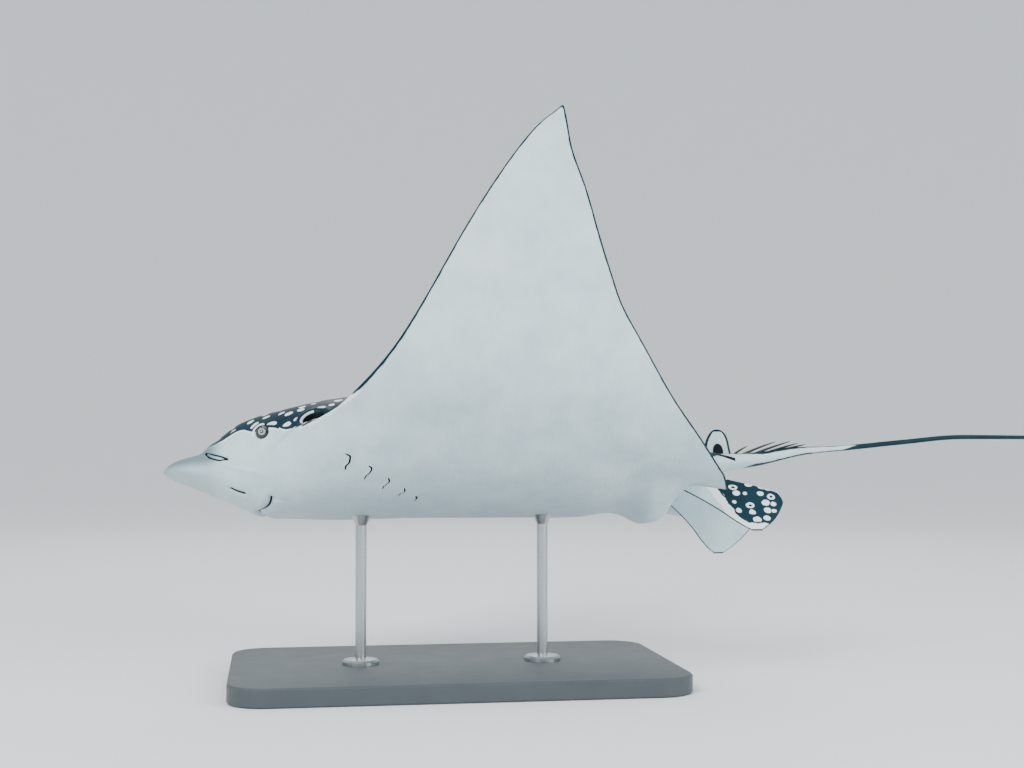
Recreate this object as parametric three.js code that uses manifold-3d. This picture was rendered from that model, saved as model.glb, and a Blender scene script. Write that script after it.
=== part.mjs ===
// Spotted eagle ray (Aetobatus narinari), life size, wings raised in the upstroke, on a plain
// display stand. The head points along -X, the tail along +X, the ray's left side is -Y, +Z is up.
// The origin is the middle of the underside of the stand's base.
//
// The body is shaped flat, as if the ray lay spread on a table: x runs back from the tip of the
// snout, y runs out along the wing, z is the height over the belly, all in parts of the disc
// width. bend() then raises the wings, banks the ray and sets it on the stand, in millimetres.

import * as THREE from 'three';
import { mergeVertices } from 'three/addons/utils/BufferGeometryUtils.js';
import Module from 'manifold-3d';

// Driving dimensions, in millimetres and degrees
const DISC_WIDTH = 1500;
const GAP = 0.3;                      // cut between neighbouring pieces
const EDGE = 1.6;                     // thickness of the wings' rims
const BANK = 14;                      // the left side is the higher one
const BANK_HEIGHT = 60;               // the bank turns about a line this high over the belly
const WING_RISE = 76;                 // slope of the wing at the end of its inner bend
const TIP_RISE = 100;                 // slope of the wing at its tip
const BELLY_HEIGHT = 270;             // belly over the floor
const BALANCE = 465;                  // snout tip to the middle of the stand
const EYE_RADIUS = 12;
const BASE = { length: 720, width: 440, thickness: 30, corner: 60, edge: 3 };
const ROD = { radius: 9, spread: 150, foot: 30, footHeight: 8, footEdge: 3 };
const PAD = { radius: 19, depth: 45, taper: 22, sunk: 60 };   // head of each rod, under the belly

// Places along and across the body, in parts of the disc width
const ROOT = 0.075;                   // half-width at which a wing joins the trunk
const BEND_END = 0.28;
const TIP = 0.499;                    // half the spread, round the wing
const ROOT_FRONT = 0.12;
const ROOT_REAR = 0.6;
const NOTCH = 0.565;                  // where the wing's free rear lobe leaves the trunk
const LOBE_END = 0.045;               // rostral lobe to head
const HEAD_END = 0.18;                // head to trunk
const TRUNK_END = 0.6;                // trunk to tail base
const TAIL_START = 0.665;             // tail base to whip
const WHIP_LENGTH = 1.16;             // tail base to the tip of the whip
const UPPER_SHARE = 0.6;              // part of a wing's thickness over its mid-surface
const GAP_PART = GAP / DISC_WIDTH;
const EDGE_PART = EDGE / DISC_WIDTH;
const EYE = { x: 0.1045, y: 0.0585, z: 0.0765 };
const SPIRACLE = { x: 0.155, y: 0.069, z: 0.0925, length: 0.0125, depth: 0.011, height: 0.0055, slant: 22 };
const MOUTH = { x: 0.113, width: 0.032, height: 0.006, thickness: 0.0028, curve: 0.012, top: [0.7, 0.55] };

const wasm = await Module();
wasm.setup();
const ray = new THREE.Group();
const radians = THREE.MathUtils.degToRad;
const { clamp, lerp } = THREE.MathUtils;

// Shape curves ---------------------------------------------------------------------------------

// A smooth curve through a few knots [position, value] that never swings past them.
function curve(...knots) {
  const last = knots.length - 1;
  const steps = knots.slice(1).map(([x, v], i) => (v - knots[i][1]) / (x - knots[i][0]));
  const slopes = knots.map((_, i) => {
    if (i === 0 || i === last) return steps[Math.min(i, last - 1)];
    const [before, after] = [steps[i - 1], steps[i]];
    return before * after > 0 ? (2 * before * after) / (before + after) : 0;
  });
  return (x) => {
    if (x <= knots[0][0]) return knots[0][1];
    if (x >= knots[last][0]) return knots[last][1];
    const i = knots.findIndex(([position]) => position > x) - 1;
    const [[x0, v0], [x1, v1]] = [knots[i], knots[i + 1]];
    const h = x1 - x0;
    const t = (x - x0) / h;
    const u = 1 - t;
    const turn = h * t * u * (slopes[i] * u - slopes[i + 1] * t);
    return v0 * (1 + 2 * t) * u * u + v1 * (3 - 2 * t) * t * t + turn;
  };
}

// Height of the back and of the belly along the middle line.
const crown = curve(
  [0, 0.049], [0.006, 0.055], [0.017, 0.06], [0.043, 0.065], [0.0514, 0.073], [0.065, 0.083],
  [0.083, 0.0965], [0.107, 0.106], [0.13, 0.1125], [0.178, 0.1245], [0.21, 0.1285], [0.27, 0.13],
  [0.36, 0.124], [0.45, 0.108], [0.52, 0.09], [0.58, 0.073], [0.62, 0.0668], [0.665, 0.0699],
);
const keel = curve(
  [0, 0.047], [0.006, 0.0425], [0.021, 0.0375], [0.056, 0.023], [0.075, 0.0145], [0.094, 0.006],
  [0.12, 0.001], [0.15, 0], [0.45, 0], [0.5, 0.006], [0.54, 0.018], [0.58, 0.035], [0.62, 0.047],
  [0.665, 0.0547],
);
// Half-width of the head, trunk and tail base.
const flank = curve(
  [0, 0.006], [0.0055, 0.0177], [0.0133, 0.0277], [0.0277, 0.0377], [0.0443, 0.0432], [0.061, 0.0462],
  [0.0776, 0.0515], [0.092, 0.0585], [0.106, 0.067], [ROOT_FRONT, ROOT], [0.52, ROOT], [0.55, 0.064],
  [0.575, 0.05], [0.6, 0.033], [0.62, 0.021], [0.64, 0.0135], [TAIL_START, 0.0085],
);
// Height of the wings' mid-surface; the widest line of the body follows it up to the notch, and
// then rises into the tail while the wings' rear lobes hang.
const wingLine = curve(
  [0, 0.048], [0.02, 0.045], [0.06, 0.044], [0.09, 0.05], [0.12, 0.061], [0.15, 0.068], [0.2, 0.065],
  [0.25, 0.058], [0.4, 0.045], [0.5, 0.03], [0.55, 0.024], [ROOT_REAR, 0.012],
);
const tailLine = curve([NOTCH, wingLine(NOTCH)], [0.59, 0.042], [0.62, 0.057], [TAIL_START, 0.0625]);
const waist = (x) => (x <= NOTCH ? wingLine(x) : tailLine(x));
// How far out the back and the belly swell over the wings, with the power and fullness of the arch.
const OVER = {
  crest: crown,
  reach: curve(
    [0.1, 0.0635], [0.12, 0.07], [0.15, 0.073], [0.18, 0.082], [0.22, 0.108], [0.28, 0.142], [0.34, 0.155],
    [0.42, 0.155], [0.5, 0.105], [0.55, 0.066], [0.575, 0.05], [0.6, 0.033],
  ),
  power: curve([0.02, 2.2], [0.09, 3.2], [0.16, 3], [0.26, 2]),
  fullness: curve(
    [0.08, 0.5], [0.125, 0.62], [0.16, 0.85], [0.2, 1.3], [0.28, 2], [0.48, 2], [0.57, 0.75], [0.61, 0.5],
  ),
  share: UPPER_SHARE,
  edge: EDGE_PART / 2,
  reachFrom: 0.1,
};
const UNDER = {
  crest: keel,
  reach: curve(
    [0.106, 0.067], [0.12, 0.076], [0.136, 0.099], [0.152, 0.118], [0.175, 0.14], [0.21, 0.152], [0.3, 0.155],
    [0.42, 0.155], [0.5, 0.105], [0.55, 0.066], [0.575, 0.05], [0.6, 0.033],
  ),
  power: curve([0.02, 2.2], [0.09, 3], [0.15, 2.4], [0.26, 2]),
  fullness: curve(
    [0.08, 0.5], [0.12, 0.62], [0.16, 0.85], [0.22, 1.4], [0.3, 2], [0.48, 2], [0.57, 0.75], [0.61, 0.5],
  ),
  share: UPPER_SHARE - 1,
  edge: -EDGE_PART / 2,
  reachFrom: 0.106,
};
const REACH_END = 0.6;
// Front and rear edge of the wing, by distance out from the middle line.
const frontEdge = curve(
  [ROOT, ROOT_FRONT], [0.1, 0.136], [0.12, 0.152], [0.145, 0.175], [0.19, 0.208], [0.224, 0.23],
  [0.275, 0.259], [0.351, 0.3], [0.405, 0.332], [0.463, 0.371], [0.479, 0.3845], [0.49, 0.396],
  [TIP, 0.4045],
);
const rearEdge = curve(
  [ROOT, ROOT_REAR], [0.106, 0.588], [0.118, 0.58], [0.162, 0.548], [0.208, 0.512], [0.254, 0.481],
  [0.295, 0.456], [0.312, 0.45], [0.355, 0.437], [0.404, 0.425], [0.455, 0.4115], [0.486, 0.409],
  [TIP, 0.4075],
);
// Inner edge of the wing: the trunk's flank, then the inner margin of the free rear lobe.
const innerMargin = curve([NOTCH, 0.0562], [0.58, 0.0615], [0.592, 0.067], [ROOT_REAR, 0.0705]);
const wingInner = (x) => (x <= NOTCH ? flank(x) : innerMargin(x));

// Thickness of the wing alone at chord part c and distance out y: deep and rounded towards the
// front of the root, thin at the rim, the tip and the free rear lobe.
const WING_DEPTH = { tip: 0.003, root: 0.042, power: 1.8, peak: 0.37, lobe: [0.9, 0.95], lobeThin: 0.03 };
const smooth = (from, to, x) => THREE.MathUtils.smoothstep(x, from, to);
function wingDepth(c, y, inner) {
  const thin = lerp(1, smooth(0, WING_DEPTH.lobeThin, y - inner), smooth(...WING_DEPTH.lobe, c));
  const reach = clamp((y - ROOT) / (0.5 - ROOT), 0, 1);
  const depth = WING_DEPTH.tip + WING_DEPTH.root * (1 - reach) ** WING_DEPTH.power;
  return (depth * Math.sqrt(c) * (1 - c) ** 1.1 * thin) / WING_DEPTH.peak;
}

const rootChord = (x) => clamp((x - ROOT_FRONT) / (ROOT_REAR - ROOT_FRONT), 0, 1);

// Height of the upper or lower skin: the wing's own depth, and the body's arch over it.
function skinHeight(x, y, c, inner, side, line) {
  const skin = line(x) + side.edge + side.share * wingDepth(c, y, inner);
  const middle = line(x) + side.edge + side.share * wingDepth(rootChord(x), ROOT, ROOT);
  const reach = x < side.reachFrom || x > REACH_END ? flank(x) : side.reach(x);
  const arch = (1 - Math.min(1, Math.abs(y) / reach) ** side.power(x)) ** side.fullness(x);
  return skin + (side.crest(x) - middle) * arch;
}

const trunkHeight = (x, y, side) => skinHeight(x, y, rootChord(x), ROOT, side, waist);

// Raising, banking and placing -----------------------------------------------------------------

// The wing's cross line in two arcs: distance out and height at arc length y, with the slope.
function raised(y) {
  const inner = radians(WING_RISE) / (BEND_END - ROOT);
  const outer = radians(TIP_RISE - WING_RISE) / (TIP - BEND_END);
  if (y <= ROOT) return { out: y, up: 0, slope: 0 };
  const a = inner * (Math.min(y, BEND_END) - ROOT);
  let out = ROOT + Math.sin(a) / inner;
  let up = (1 - Math.cos(a)) / inner;
  const b = a + outer * Math.max(0, y - BEND_END);
  out += (Math.sin(b) - Math.sin(a)) / outer;
  up += (Math.cos(a) - Math.cos(b)) / outer;
  return { out, up, slope: b };
}

// Flat point (parts of the disc width) to its place in the posed model (mm).
function bend(x, y, z) {
  const line = wingLine(x);
  const { out, up, slope } = raised(Math.abs(y));
  const across = Math.sign(y) * (out - (z - line) * Math.sin(slope)) * DISC_WIDTH;
  const height = (line + up + (z - line) * Math.cos(slope)) * DISC_WIDTH - BANK_HEIGHT;
  const bank = radians(BANK);
  return new THREE.Vector3(
    x * DISC_WIDTH - BALANCE,
    across * Math.cos(bank) + height * Math.sin(bank),
    -across * Math.sin(bank) + height * Math.cos(bank) + BANK_HEIGHT + BELLY_HEIGHT,
  );
}

// Solids ---------------------------------------------------------------------------------------

// A closed mesh through rings of points, each a list of Vector3. The second half of a ring runs
// back under its first half, so each end is closed by a strip between the two halves.
function loft(rings) {
  const count = rings[0].length;
  const faces = [];
  for (let i = 0; i < rings.length - 1; i += 1) {
    for (let j = 0; j < count; j += 1) {
      const k = (j + 1) % count;
      const [a, b, c, d] = [i * count + j, i * count + k, (i + 1) * count + j, (i + 1) * count + k];
      faces.push([a, b, d], [a, d, c]);
    }
  }
  const end = (rings.length - 1) * count;
  for (let j = 0; j < count / 2 - 1; j += 1) {
    const [a, b, c, d] = [j, j + 1, count - 1 - j, count - 2 - j];
    faces.push([a, d, b], [a, c, d], [end + a, end + b, end + d], [end + a, end + d, end + c]);
  }
  return facedOutward(rings.flat(), faces);
}

// Turns every face round if the closed mesh came out inside out.
function facedOutward(points, faces) {
  const volume = faces.reduce((sum, [a, b, c]) => (
    sum + points[a].clone().sub(points[0]).dot(points[b].clone().sub(points[0]).cross(
      points[c].clone().sub(points[0]),
    ))), 0);
  const turned = volume < 0 ? faces.map(([a, b, c]) => [a, c, b]) : faces;
  const geometry = new THREE.BufferGeometry();
  const numbers = points.flatMap((point) => point.toArray());
  geometry.setAttribute('position', new THREE.Float32BufferAttribute(numbers, 3));
  geometry.setIndex(turned.flat());
  return geometry;
}

function toManifold(geometry) {
  const bare = geometry.clone();
  bare.deleteAttribute('normal');
  bare.deleteAttribute('uv');
  const merged = mergeVertices(bare, 1e-3);
  return new wasm.Manifold(new wasm.Mesh({
    numProp: 3,
    vertProperties: new Float32Array(merged.attributes.position.array),
    triVerts: new Uint32Array(merged.index.array),
  }));
}

function toGeometry(manifold) {
  const { vertProperties, triVerts } = manifold.getMesh();
  const geometry = new THREE.BufferGeometry();
  geometry.setAttribute('position', new THREE.Float32BufferAttribute(vertProperties, 3));
  geometry.setIndex(Array.from(triVerts));
  return geometry;
}

// The geometry with one or more others cut out of it.
const cut = (geometry, ...others) => toGeometry(
  others.reduce((left, other) => left.subtract(toManifold(other)), toManifold(geometry)),
);

function add(name, geometry, color, roughness, metalness = 0) {
  const material = new THREE.MeshStandardMaterial({ color, roughness, metalness, flatShading: true });
  const mesh = new THREE.Mesh(geometry, material);
  mesh.name = name;
  ray.add(mesh);
}

const COLOR = { back: '#1d3a44', belly: '#dfe9ea', eye: '#101614', sting: '#15181a', tail: '#14191d',
  metal: '#b9bdc0', base: '#2b2e30' };
const SKIN_ROUGHNESS = 0.45;

// Head and trunk -------------------------------------------------------------------------------

const ARCH_STEPS = 6;                 // points on each quarter of a section
const CHORD_STEPS = 20;
const CROWDING = { head: 0.7, trunk: 0.85 };     // under 1 gathers a section's points at the flank
const chordParts = Array.from({ length: CHORD_STEPS + 1 }, (_, i) => (
  (1 - Math.cos((Math.PI * i) / CHORD_STEPS)) / 2));
const rootStations = chordParts.map((c) => lerp(ROOT_FRONT, ROOT_REAR, c));

// One ring of the body at x, grown outward by some millimetres.
function bodyRing(x, growth = 0) {
  const grown = growth / DISC_WIDTH;
  const half = flank(x);
  const crowding = x < HEAD_END ? CROWDING.head : CROWDING.trunk;
  const arc = (side) => Array.from({ length: 2 * ARCH_STEPS + 1 }, (_, k) => {
    const part = Math.abs(Math.cos((Math.PI * k) / (2 * ARCH_STEPS))) ** crowding;
    const sign = Math.sign(ARCH_STEPS - k);
    const z = trunkHeight(x, part * half, side) + Math.sign(side.edge) * grown;
    return bend(x, sign * part * (half + grown), z);
  });
  return [...arc(OVER), ...arc(UNDER).reverse()];
}

// A length of the body between two cuts, through the given stations.
function bodyLength(from, to, stations, growth = 0) {
  const margin = GAP_PART * 5;
  const inside = stations.filter((x) => x > from + margin && x < to - margin);
  return loft([from, ...inside, to].map((x) => bodyRing(x, growth)));
}

const lobeStations = [0.003, 0.0065, 0.0115, 0.018, 0.027, 0.037];
const headStations = [0.0475, 0.053, 0.06, 0.068, 0.076, 0.085, 0.094, 0.103, 0.112, ...rootStations];
const tailBaseStations = [0.61, 0.621, 0.634, 0.648];

const eyeAt = (side) => bend(EYE.x, side * EYE.y, EYE.z);

function ball(radius, centre) {
  return new THREE.SphereGeometry(radius, 14, 10).translate(centre.x, centre.y, centre.z);
}

// Breathing hole behind the eye: a long hollow that slants back and down.
function spiraclePocket(side) {
  const pocket = new THREE.SphereGeometry(DISC_WIDTH, 12, 8);
  pocket.scale(SPIRACLE.length, SPIRACLE.depth, SPIRACLE.height).rotateY(radians(-SPIRACLE.slant));
  const { x, y, z } = bend(SPIRACLE.x, side * SPIRACLE.y, SPIRACLE.z);
  return pocket.translate(x, y, z);
}

// Mouth: a shallow groove across the underside of the head, bowed forward.
function mouthGroove() {
  const steps = 12;
  const [topWidth, topHeight] = MOUTH.top;
  return loft(Array.from({ length: steps + 1 }, (_, i) => {
    const across = lerp(-1, 1, i / steps);
    const size = Math.max(0.15, Math.sqrt(1 - across * across));
    const x = MOUTH.x + MOUTH.curve * across * across;
    const y = MOUTH.width * across;
    const z = trunkHeight(x, y, UNDER);
    const corner = (dx, dz) => bend(x + dx * MOUTH.thickness * size, y, z + dz * MOUTH.height * size);
    return [corner(-1, -1), corner(1, -1), corner(topWidth, topHeight), corner(-topWidth, topHeight)];
  }));
}

function addHeadAndTrunk() {
  const lobe = bodyLength(0, LOBE_END - GAP_PART, lobeStations);
  const head = bodyLength(LOBE_END, HEAD_END - GAP_PART, headStations);
  const hollows = [-1, 1].flatMap((side) => [ball(EYE_RADIUS + GAP, eyeAt(side)), spiraclePocket(side)]);
  add('rostral_lobe', lobe, COLOR.belly, SKIN_ROUGHNESS);
  add('head', cut(head, ...hollows, mouthGroove()), COLOR.back, SKIN_ROUGHNESS);
  add('eye_left', ball(EYE_RADIUS, eyeAt(-1)), COLOR.eye, 0.1);
  add('eye_right', ball(EYE_RADIUS, eyeAt(1)), COLOR.eye, 0.1);
  add('trunk', bodyLength(HEAD_END, TRUNK_END - GAP_PART, rootStations), COLOR.back, SKIN_ROUGHNESS);
  add('tail_base', bodyLength(TRUNK_END, TAIL_START, tailBaseStations), COLOR.belly, SKIN_ROUGHNESS);
}

// The body without cuts and a little larger, to trim what is set on it.
const bodyFitting = bodyLength(
  LOBE_END,
  TAIL_START + 0.001,
  [...headStations, ...tailBaseStations].sort((a, b) => a - b),
  GAP,
);

// Wings ----------------------------------------------------------------------------------------

const SPAN_STEPS = 17;
const TIP_CROWDING = 0.45;            // gathers the rings towards the tip
const SETTLE = 0.07;                  // distance in which the wing leaves the flank's own line

// A wing as rings round its chord, from the flank to the tip.
function wing(side) {
  const rings = Array.from({ length: SPAN_STEPS + 1 }, (_, j) => {
    const part = j / SPAN_STEPS;
    const y = lerp(ROOT, TIP, lerp(part, Math.sin((Math.PI * part) / 2), TIP_CROWDING));
    const settle = clamp(1 - (y - ROOT) / SETTLE, 0, 1) ** 2;
    const point = (c, half) => {
      const inner = wingInner(lerp(ROOT_FRONT, ROOT_REAR, c)) + GAP_PART;
      const out = y + (inner - ROOT) * settle;
      const x = lerp(frontEdge(y), rearEdge(y), c);
      return bend(x, side * out, skinHeight(x, out, c, inner, half, wingLine));
    };
    const skin = (half) => chordParts.map((c) => point(c, half));
    return [...skin(OVER), ...skin(UNDER).reverse()];
  });
  return loft(rings);
}

// Fins -----------------------------------------------------------------------------------------

const FIN_RIM = 0.25;                 // thickness of a fin's front and rear rim, as part of its middle

// A thin fin through stations [distance out, front, rear, thickness], laid by a function.
function fin(stations, steps, lay) {
  return loft(stations.map(([out, front, rear, thickness]) => {
    const side = (sign) => Array.from({ length: steps + 1 }, (_, i) => {
      const c = i / steps;
      const depth = Math.max(FIN_RIM, Math.sqrt(4 * c * (1 - c))) * (thickness / 2);
      return lay(lerp(front, rear, c), out, sign * depth / DISC_WIDTH);
    });
    return [...side(1), ...side(-1).reverse()];
  }));
}

// Each pelvic fin hangs out and down beside the tail base like a paddle.
const PELVIC = { root: 0.03, height: 0.025, droop: 68 };
const PELVIC_STATIONS = [
  [-0.008, 0.53, 0.612, 12], [0.004, 0.548, 0.652, 10], [0.012, 0.56, 0.669, 8],
  [0.022, 0.575, 0.6725, 7], [0.034, 0.592, 0.667, 6], [0.046, 0.607, 0.658, 5],
  [0.054, 0.618, 0.6485, 4], [0.0595, 0.628, 0.641, 3],
];

function pelvicFin(side) {
  const droop = radians(PELVIC.droop);
  const lay = (x, out, depth) => bend(
    x,
    side * (PELVIC.root + out * Math.cos(droop) + depth * Math.sin(droop)),
    PELVIC.height - out * Math.sin(droop) + depth * Math.cos(droop),
  );
  return cut(fin(PELVIC_STATIONS, 8, lay), bodyFitting);
}

// The small fin on the tail base, in front of the stings.
const DORSAL_STATIONS = [
  [0.055, 0.597, 0.632, 7], [0.074, 0.5985, 0.6285, 6], [0.082, 0.6005, 0.6275, 5],
  [0.089, 0.604, 0.6255, 4], [0.0935, 0.608, 0.6225, 3], [0.096, 0.612, 0.6185, 2.4],
];
const dorsalFin = () => cut(fin(DORSAL_STATIONS, 6, (x, out, depth) => bend(x, depth, out)), bodyFitting);

// Tail whip ------------------------------------------------------------------------------------

// The whip's line by distance back from the tail base: its height, and its easy bend to the right.
const whipHeight = curve(
  [0, 0.0624], [0.05, 0.071], [0.1, 0.0745], [0.17, 0.0812], [0.25, 0.0875], [0.34, 0.087], [0.5, 0.078],
  [0.68, 0.062], [0.86, 0.045], [1.02, 0.034], [WHIP_LENGTH, 0.028],
);
const whipSide = curve(
  [0.1, 0], [0.17, 0.001], [0.25, 0.006], [0.34, 0.018], [0.5, 0.055], [0.68, 0.115], [0.86, 0.18],
  [1.02, 0.225], [WHIP_LENGTH, 0.24],
);
const whipRadius = curve(
  [0, 11.2], [0.03, 9], [0.055, 6.6], [0.09, 4.7], [0.19, 4.2], [0.47, 3], [0.87, 1.9], [WHIP_LENGTH, 1],
);
const WHIP_CUTS = [0, 0.15, 0.46, 0.81, WHIP_LENGTH];
const WHIP_SIDES = 8;

function whipPlace(along) {
  return bend(TAIL_START + along, 0, whipHeight(along)).add(
    new THREE.Vector3(0, whipSide(along) * DISC_WIDTH, 0),
  );
}

// One length of the whip between two distances back from the tail base.
function whipLength(from, to, growth = 0) {
  const steps = from === 0 ? 12 : 10;
  const step = 1e-4;
  return loft(Array.from({ length: steps + 1 }, (_, i) => {
    const along = lerp(from + GAP_PART, to, i / steps);
    const centre = whipPlace(along);
    const ahead = from + i === 0 ? new THREE.Vector3(1, 0, 0)
      : whipPlace(along + step).sub(whipPlace(along - step)).normalize();
    const across = new THREE.Vector3(0, 0, 1).cross(ahead).normalize();
    const up = ahead.clone().cross(across);
    const radius = whipRadius(along) + growth;
    return Array.from({ length: WHIP_SIDES }, (__, k) => {
      const a = (2 * Math.PI * (k + 0.5)) / WHIP_SIDES;
      const sideways = across.clone().multiplyScalar(radius * Math.cos(a));
      return centre.clone().add(sideways).addScaledVector(up, radius * Math.sin(a));
    });
  }));
}

// Stings: flat barbed blades that lie back over the tail, each [root, tip, height of the tip].
const STING = { width: 0.003, thickness: 0.0016, sunk: 0.002, splay: 0.0012, taper: 0.75, end: 0.97 };
const STINGS = [
  [0.63, 0.65, 0.077], [0.641, 0.6845, 0.0824], [0.656, 0.7015, 0.0824], [0.671, 0.711, 0.0806],
  [0.684, 0.719, 0.0785],
];
const tailTop = curve([0.62, 0.0668], [TAIL_START, 0.0699], [0.712, 0.0755], [0.75, 0.0757]);

function sting([root, tip, tipHeight], index) {
  const splay = STING.splay * (index % 2 ? 1 : -1);
  return loft([0, 0.3, 0.7, STING.end].map((part) => {
    const x = lerp(root, tip, part);
    const z = lerp(tailTop(root) - STING.sunk, tipHeight, part);
    const taper = 1 - STING.taper * part ** 2;
    return [[-1, 0], [0, 1], [1, 0], [0, -1]].map(([dy, dz]) => bend(
      x, splay * part + dy * STING.width * taper, z + dz * STING.thickness * taper,
    ));
  }));
}

function addTailAndFins() {
  add('wing_left', wing(-1), COLOR.belly, SKIN_ROUGHNESS);
  add('wing_right', wing(1), COLOR.belly, SKIN_ROUGHNESS);
  add('pelvic_fin_left', pelvicFin(-1), COLOR.back, SKIN_ROUGHNESS);
  add('pelvic_fin_right', pelvicFin(1), COLOR.back, SKIN_ROUGHNESS);
  add('dorsal_fin', dorsalFin(), COLOR.back, SKIN_ROUGHNESS);
  for (let i = 1; i < WHIP_CUTS.length; i += 1) {
    add(`tail_${i}`, whipLength(WHIP_CUTS[i - 1], WHIP_CUTS[i]), COLOR.tail, SKIN_ROUGHNESS);
  }
}

function addStings() {
  const tailFitting = whipLength(WHIP_CUTS[0], WHIP_CUTS[1], GAP);
  const fitting = [bodyFitting, tailFitting];
  STINGS.forEach((place, i) => {
    add(`sting_${i + 1}`, cut(sting(place, i), ...fitting), COLOR.sting, 0.5);
    fitting.push(sting(place, i));
  });
}

// Stand ----------------------------------------------------------------------------------------

function roundedPlate({ length, width, thickness, corner, edge }) {
  const [x, y] = [length / 2, width / 2];
  const outline = new THREE.Shape();
  outline.absarc(x - corner, y - corner, corner - edge, 0, Math.PI / 2);
  outline.absarc(corner - x, y - corner, corner - edge, Math.PI / 2, Math.PI);
  outline.absarc(corner - x, corner - y, corner - edge, Math.PI, 1.5 * Math.PI);
  outline.absarc(x - corner, corner - y, corner - edge, 1.5 * Math.PI, 2 * Math.PI);
  const plate = new THREE.ExtrudeGeometry(outline, {
    depth: thickness - 2 * edge, bevelThickness: edge, bevelSize: edge, bevelSegments: 1, curveSegments: 6,
  });
  return plate.translate(0, 0, edge);
}

// A turned rod: a foot on the base, a slim shaft, and a pad cut to the belly.
function standRod(x) {
  const top = BELLY_HEIGHT + PAD.sunk;
  const padFoot = BELLY_HEIGHT - PAD.depth;
  const profile = [
    [0, 0], [ROD.foot, 0], [ROD.foot, ROD.footHeight - ROD.footEdge],
    [ROD.foot - ROD.footEdge, ROD.footHeight], [ROD.radius, ROD.footHeight + ROD.footEdge],
    [ROD.radius, padFoot], [PAD.radius, padFoot + PAD.taper], [PAD.radius, top], [0, top],
  ].map(([radius, height]) => new THREE.Vector2(radius, height));
  const rod = new THREE.LatheGeometry(profile, 24).rotateX(Math.PI / 2);
  return cut(rod.translate(x, 0, BASE.thickness + GAP), bodyFitting);
}

function addStand() {
  add('stand_base', roundedPlate(BASE), COLOR.base, 0.5);
  add('stand_rod_front', standRod(-ROD.spread), COLOR.metal, 0.3, 1);
  add('stand_rod_rear', standRod(ROD.spread), COLOR.metal, 0.3, 1);
}

addHeadAndTrunk();
addTailAndFins();
addStings();
addStand();

export default ray;
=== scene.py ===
import functools
import math

import bmesh
import bpy
import numpy as np
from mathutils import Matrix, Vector
from mathutils.bvhtree import BVHTree


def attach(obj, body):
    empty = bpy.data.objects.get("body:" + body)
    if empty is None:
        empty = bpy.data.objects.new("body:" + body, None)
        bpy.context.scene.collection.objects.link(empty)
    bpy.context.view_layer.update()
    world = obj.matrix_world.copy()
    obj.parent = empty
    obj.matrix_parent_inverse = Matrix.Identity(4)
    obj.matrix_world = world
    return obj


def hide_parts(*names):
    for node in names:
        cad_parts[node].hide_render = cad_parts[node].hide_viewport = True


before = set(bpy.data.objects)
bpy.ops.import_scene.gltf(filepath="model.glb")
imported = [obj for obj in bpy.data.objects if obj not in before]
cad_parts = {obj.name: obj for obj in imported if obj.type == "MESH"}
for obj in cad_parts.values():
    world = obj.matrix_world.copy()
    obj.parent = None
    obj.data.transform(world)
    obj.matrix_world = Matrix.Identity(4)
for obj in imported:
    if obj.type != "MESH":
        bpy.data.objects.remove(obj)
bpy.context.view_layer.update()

# ---------------------------------------------------------------------------------------------
# Camera and studio: a level lens a little in front of the ray's left side, soft boxes overhead
# and at both sides, and a plain pale floor under an even pale backdrop.
# ---------------------------------------------------------------------------------------------
MM = 0.001
IMAGE_WIDTH = 1024
FOCAL_PIXELS = 1500
SENSOR = 36.0
CAMERA_AT = (-0.2909, -2.4635, 0.4003)
CAMERA_PITCH = 2.0
CAMERA_TURN = -9.0


def linear(hex_colour):
    """sRGB hex to a linear colour with full alpha."""
    parts = [int(hex_colour[i:i + 2], 16) / 255 for i in (1, 3, 5)]
    return (*[p / 12.92 if p <= 0.04045 else ((p + 0.055) / 1.055) ** 2.4 for p in parts], 1.0)


def add_node(tree, kind, inputs=None, output=0, **settings):
    """Adds a node with its settings; an input is a value or a socket to link. Gives one output."""
    made = tree.nodes.new(kind)
    for name, value in settings.items():
        setattr(made, name, value)
    for key, value in (inputs or {}).items():
        if isinstance(value, bpy.types.NodeSocket):
            tree.links.new(value, made.inputs[key])
        else:
            made.inputs[key].default_value = value
    return made.outputs[output] if made.outputs else None


def new_material(name):
    """An empty node material, and add_node for its tree."""
    material = bpy.data.materials.new(name)
    material.use_nodes = True
    material.node_tree.nodes.clear()
    return material, functools.partial(add_node, material.node_tree)


def add_piece(name, mesh, material):
    piece = bpy.data.objects.new(name, mesh)
    bpy.context.scene.collection.objects.link(piece)
    if material is not None:
        mesh.materials.append(material)
    return piece


def add_camera():
    data = bpy.data.cameras.new("camera")
    data.sensor_width = SENSOR
    data.lens = SENSOR * FOCAL_PIXELS / IMAGE_WIDTH
    data.clip_end = 100
    camera = bpy.data.objects.new("camera", data)
    camera.location = CAMERA_AT
    camera.rotation_euler = (math.radians(90 + CAMERA_PITCH), 0, math.radians(CAMERA_TURN))
    bpy.context.scene.collection.objects.link(camera)
    bpy.context.scene.camera = camera


def add_soft_box(name, place, aim, size, power):
    data = bpy.data.lights.new(name, "AREA")
    data.shape = "RECTANGLE"
    data.size, data.size_y = size
    data.energy = power
    light = bpy.data.objects.new(name, data)
    light.location = place
    light.rotation_euler = (Vector(aim) - Vector(place)).to_track_quat("-Z", "Y").to_euler()
    bpy.context.scene.collection.objects.link(light)


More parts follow.
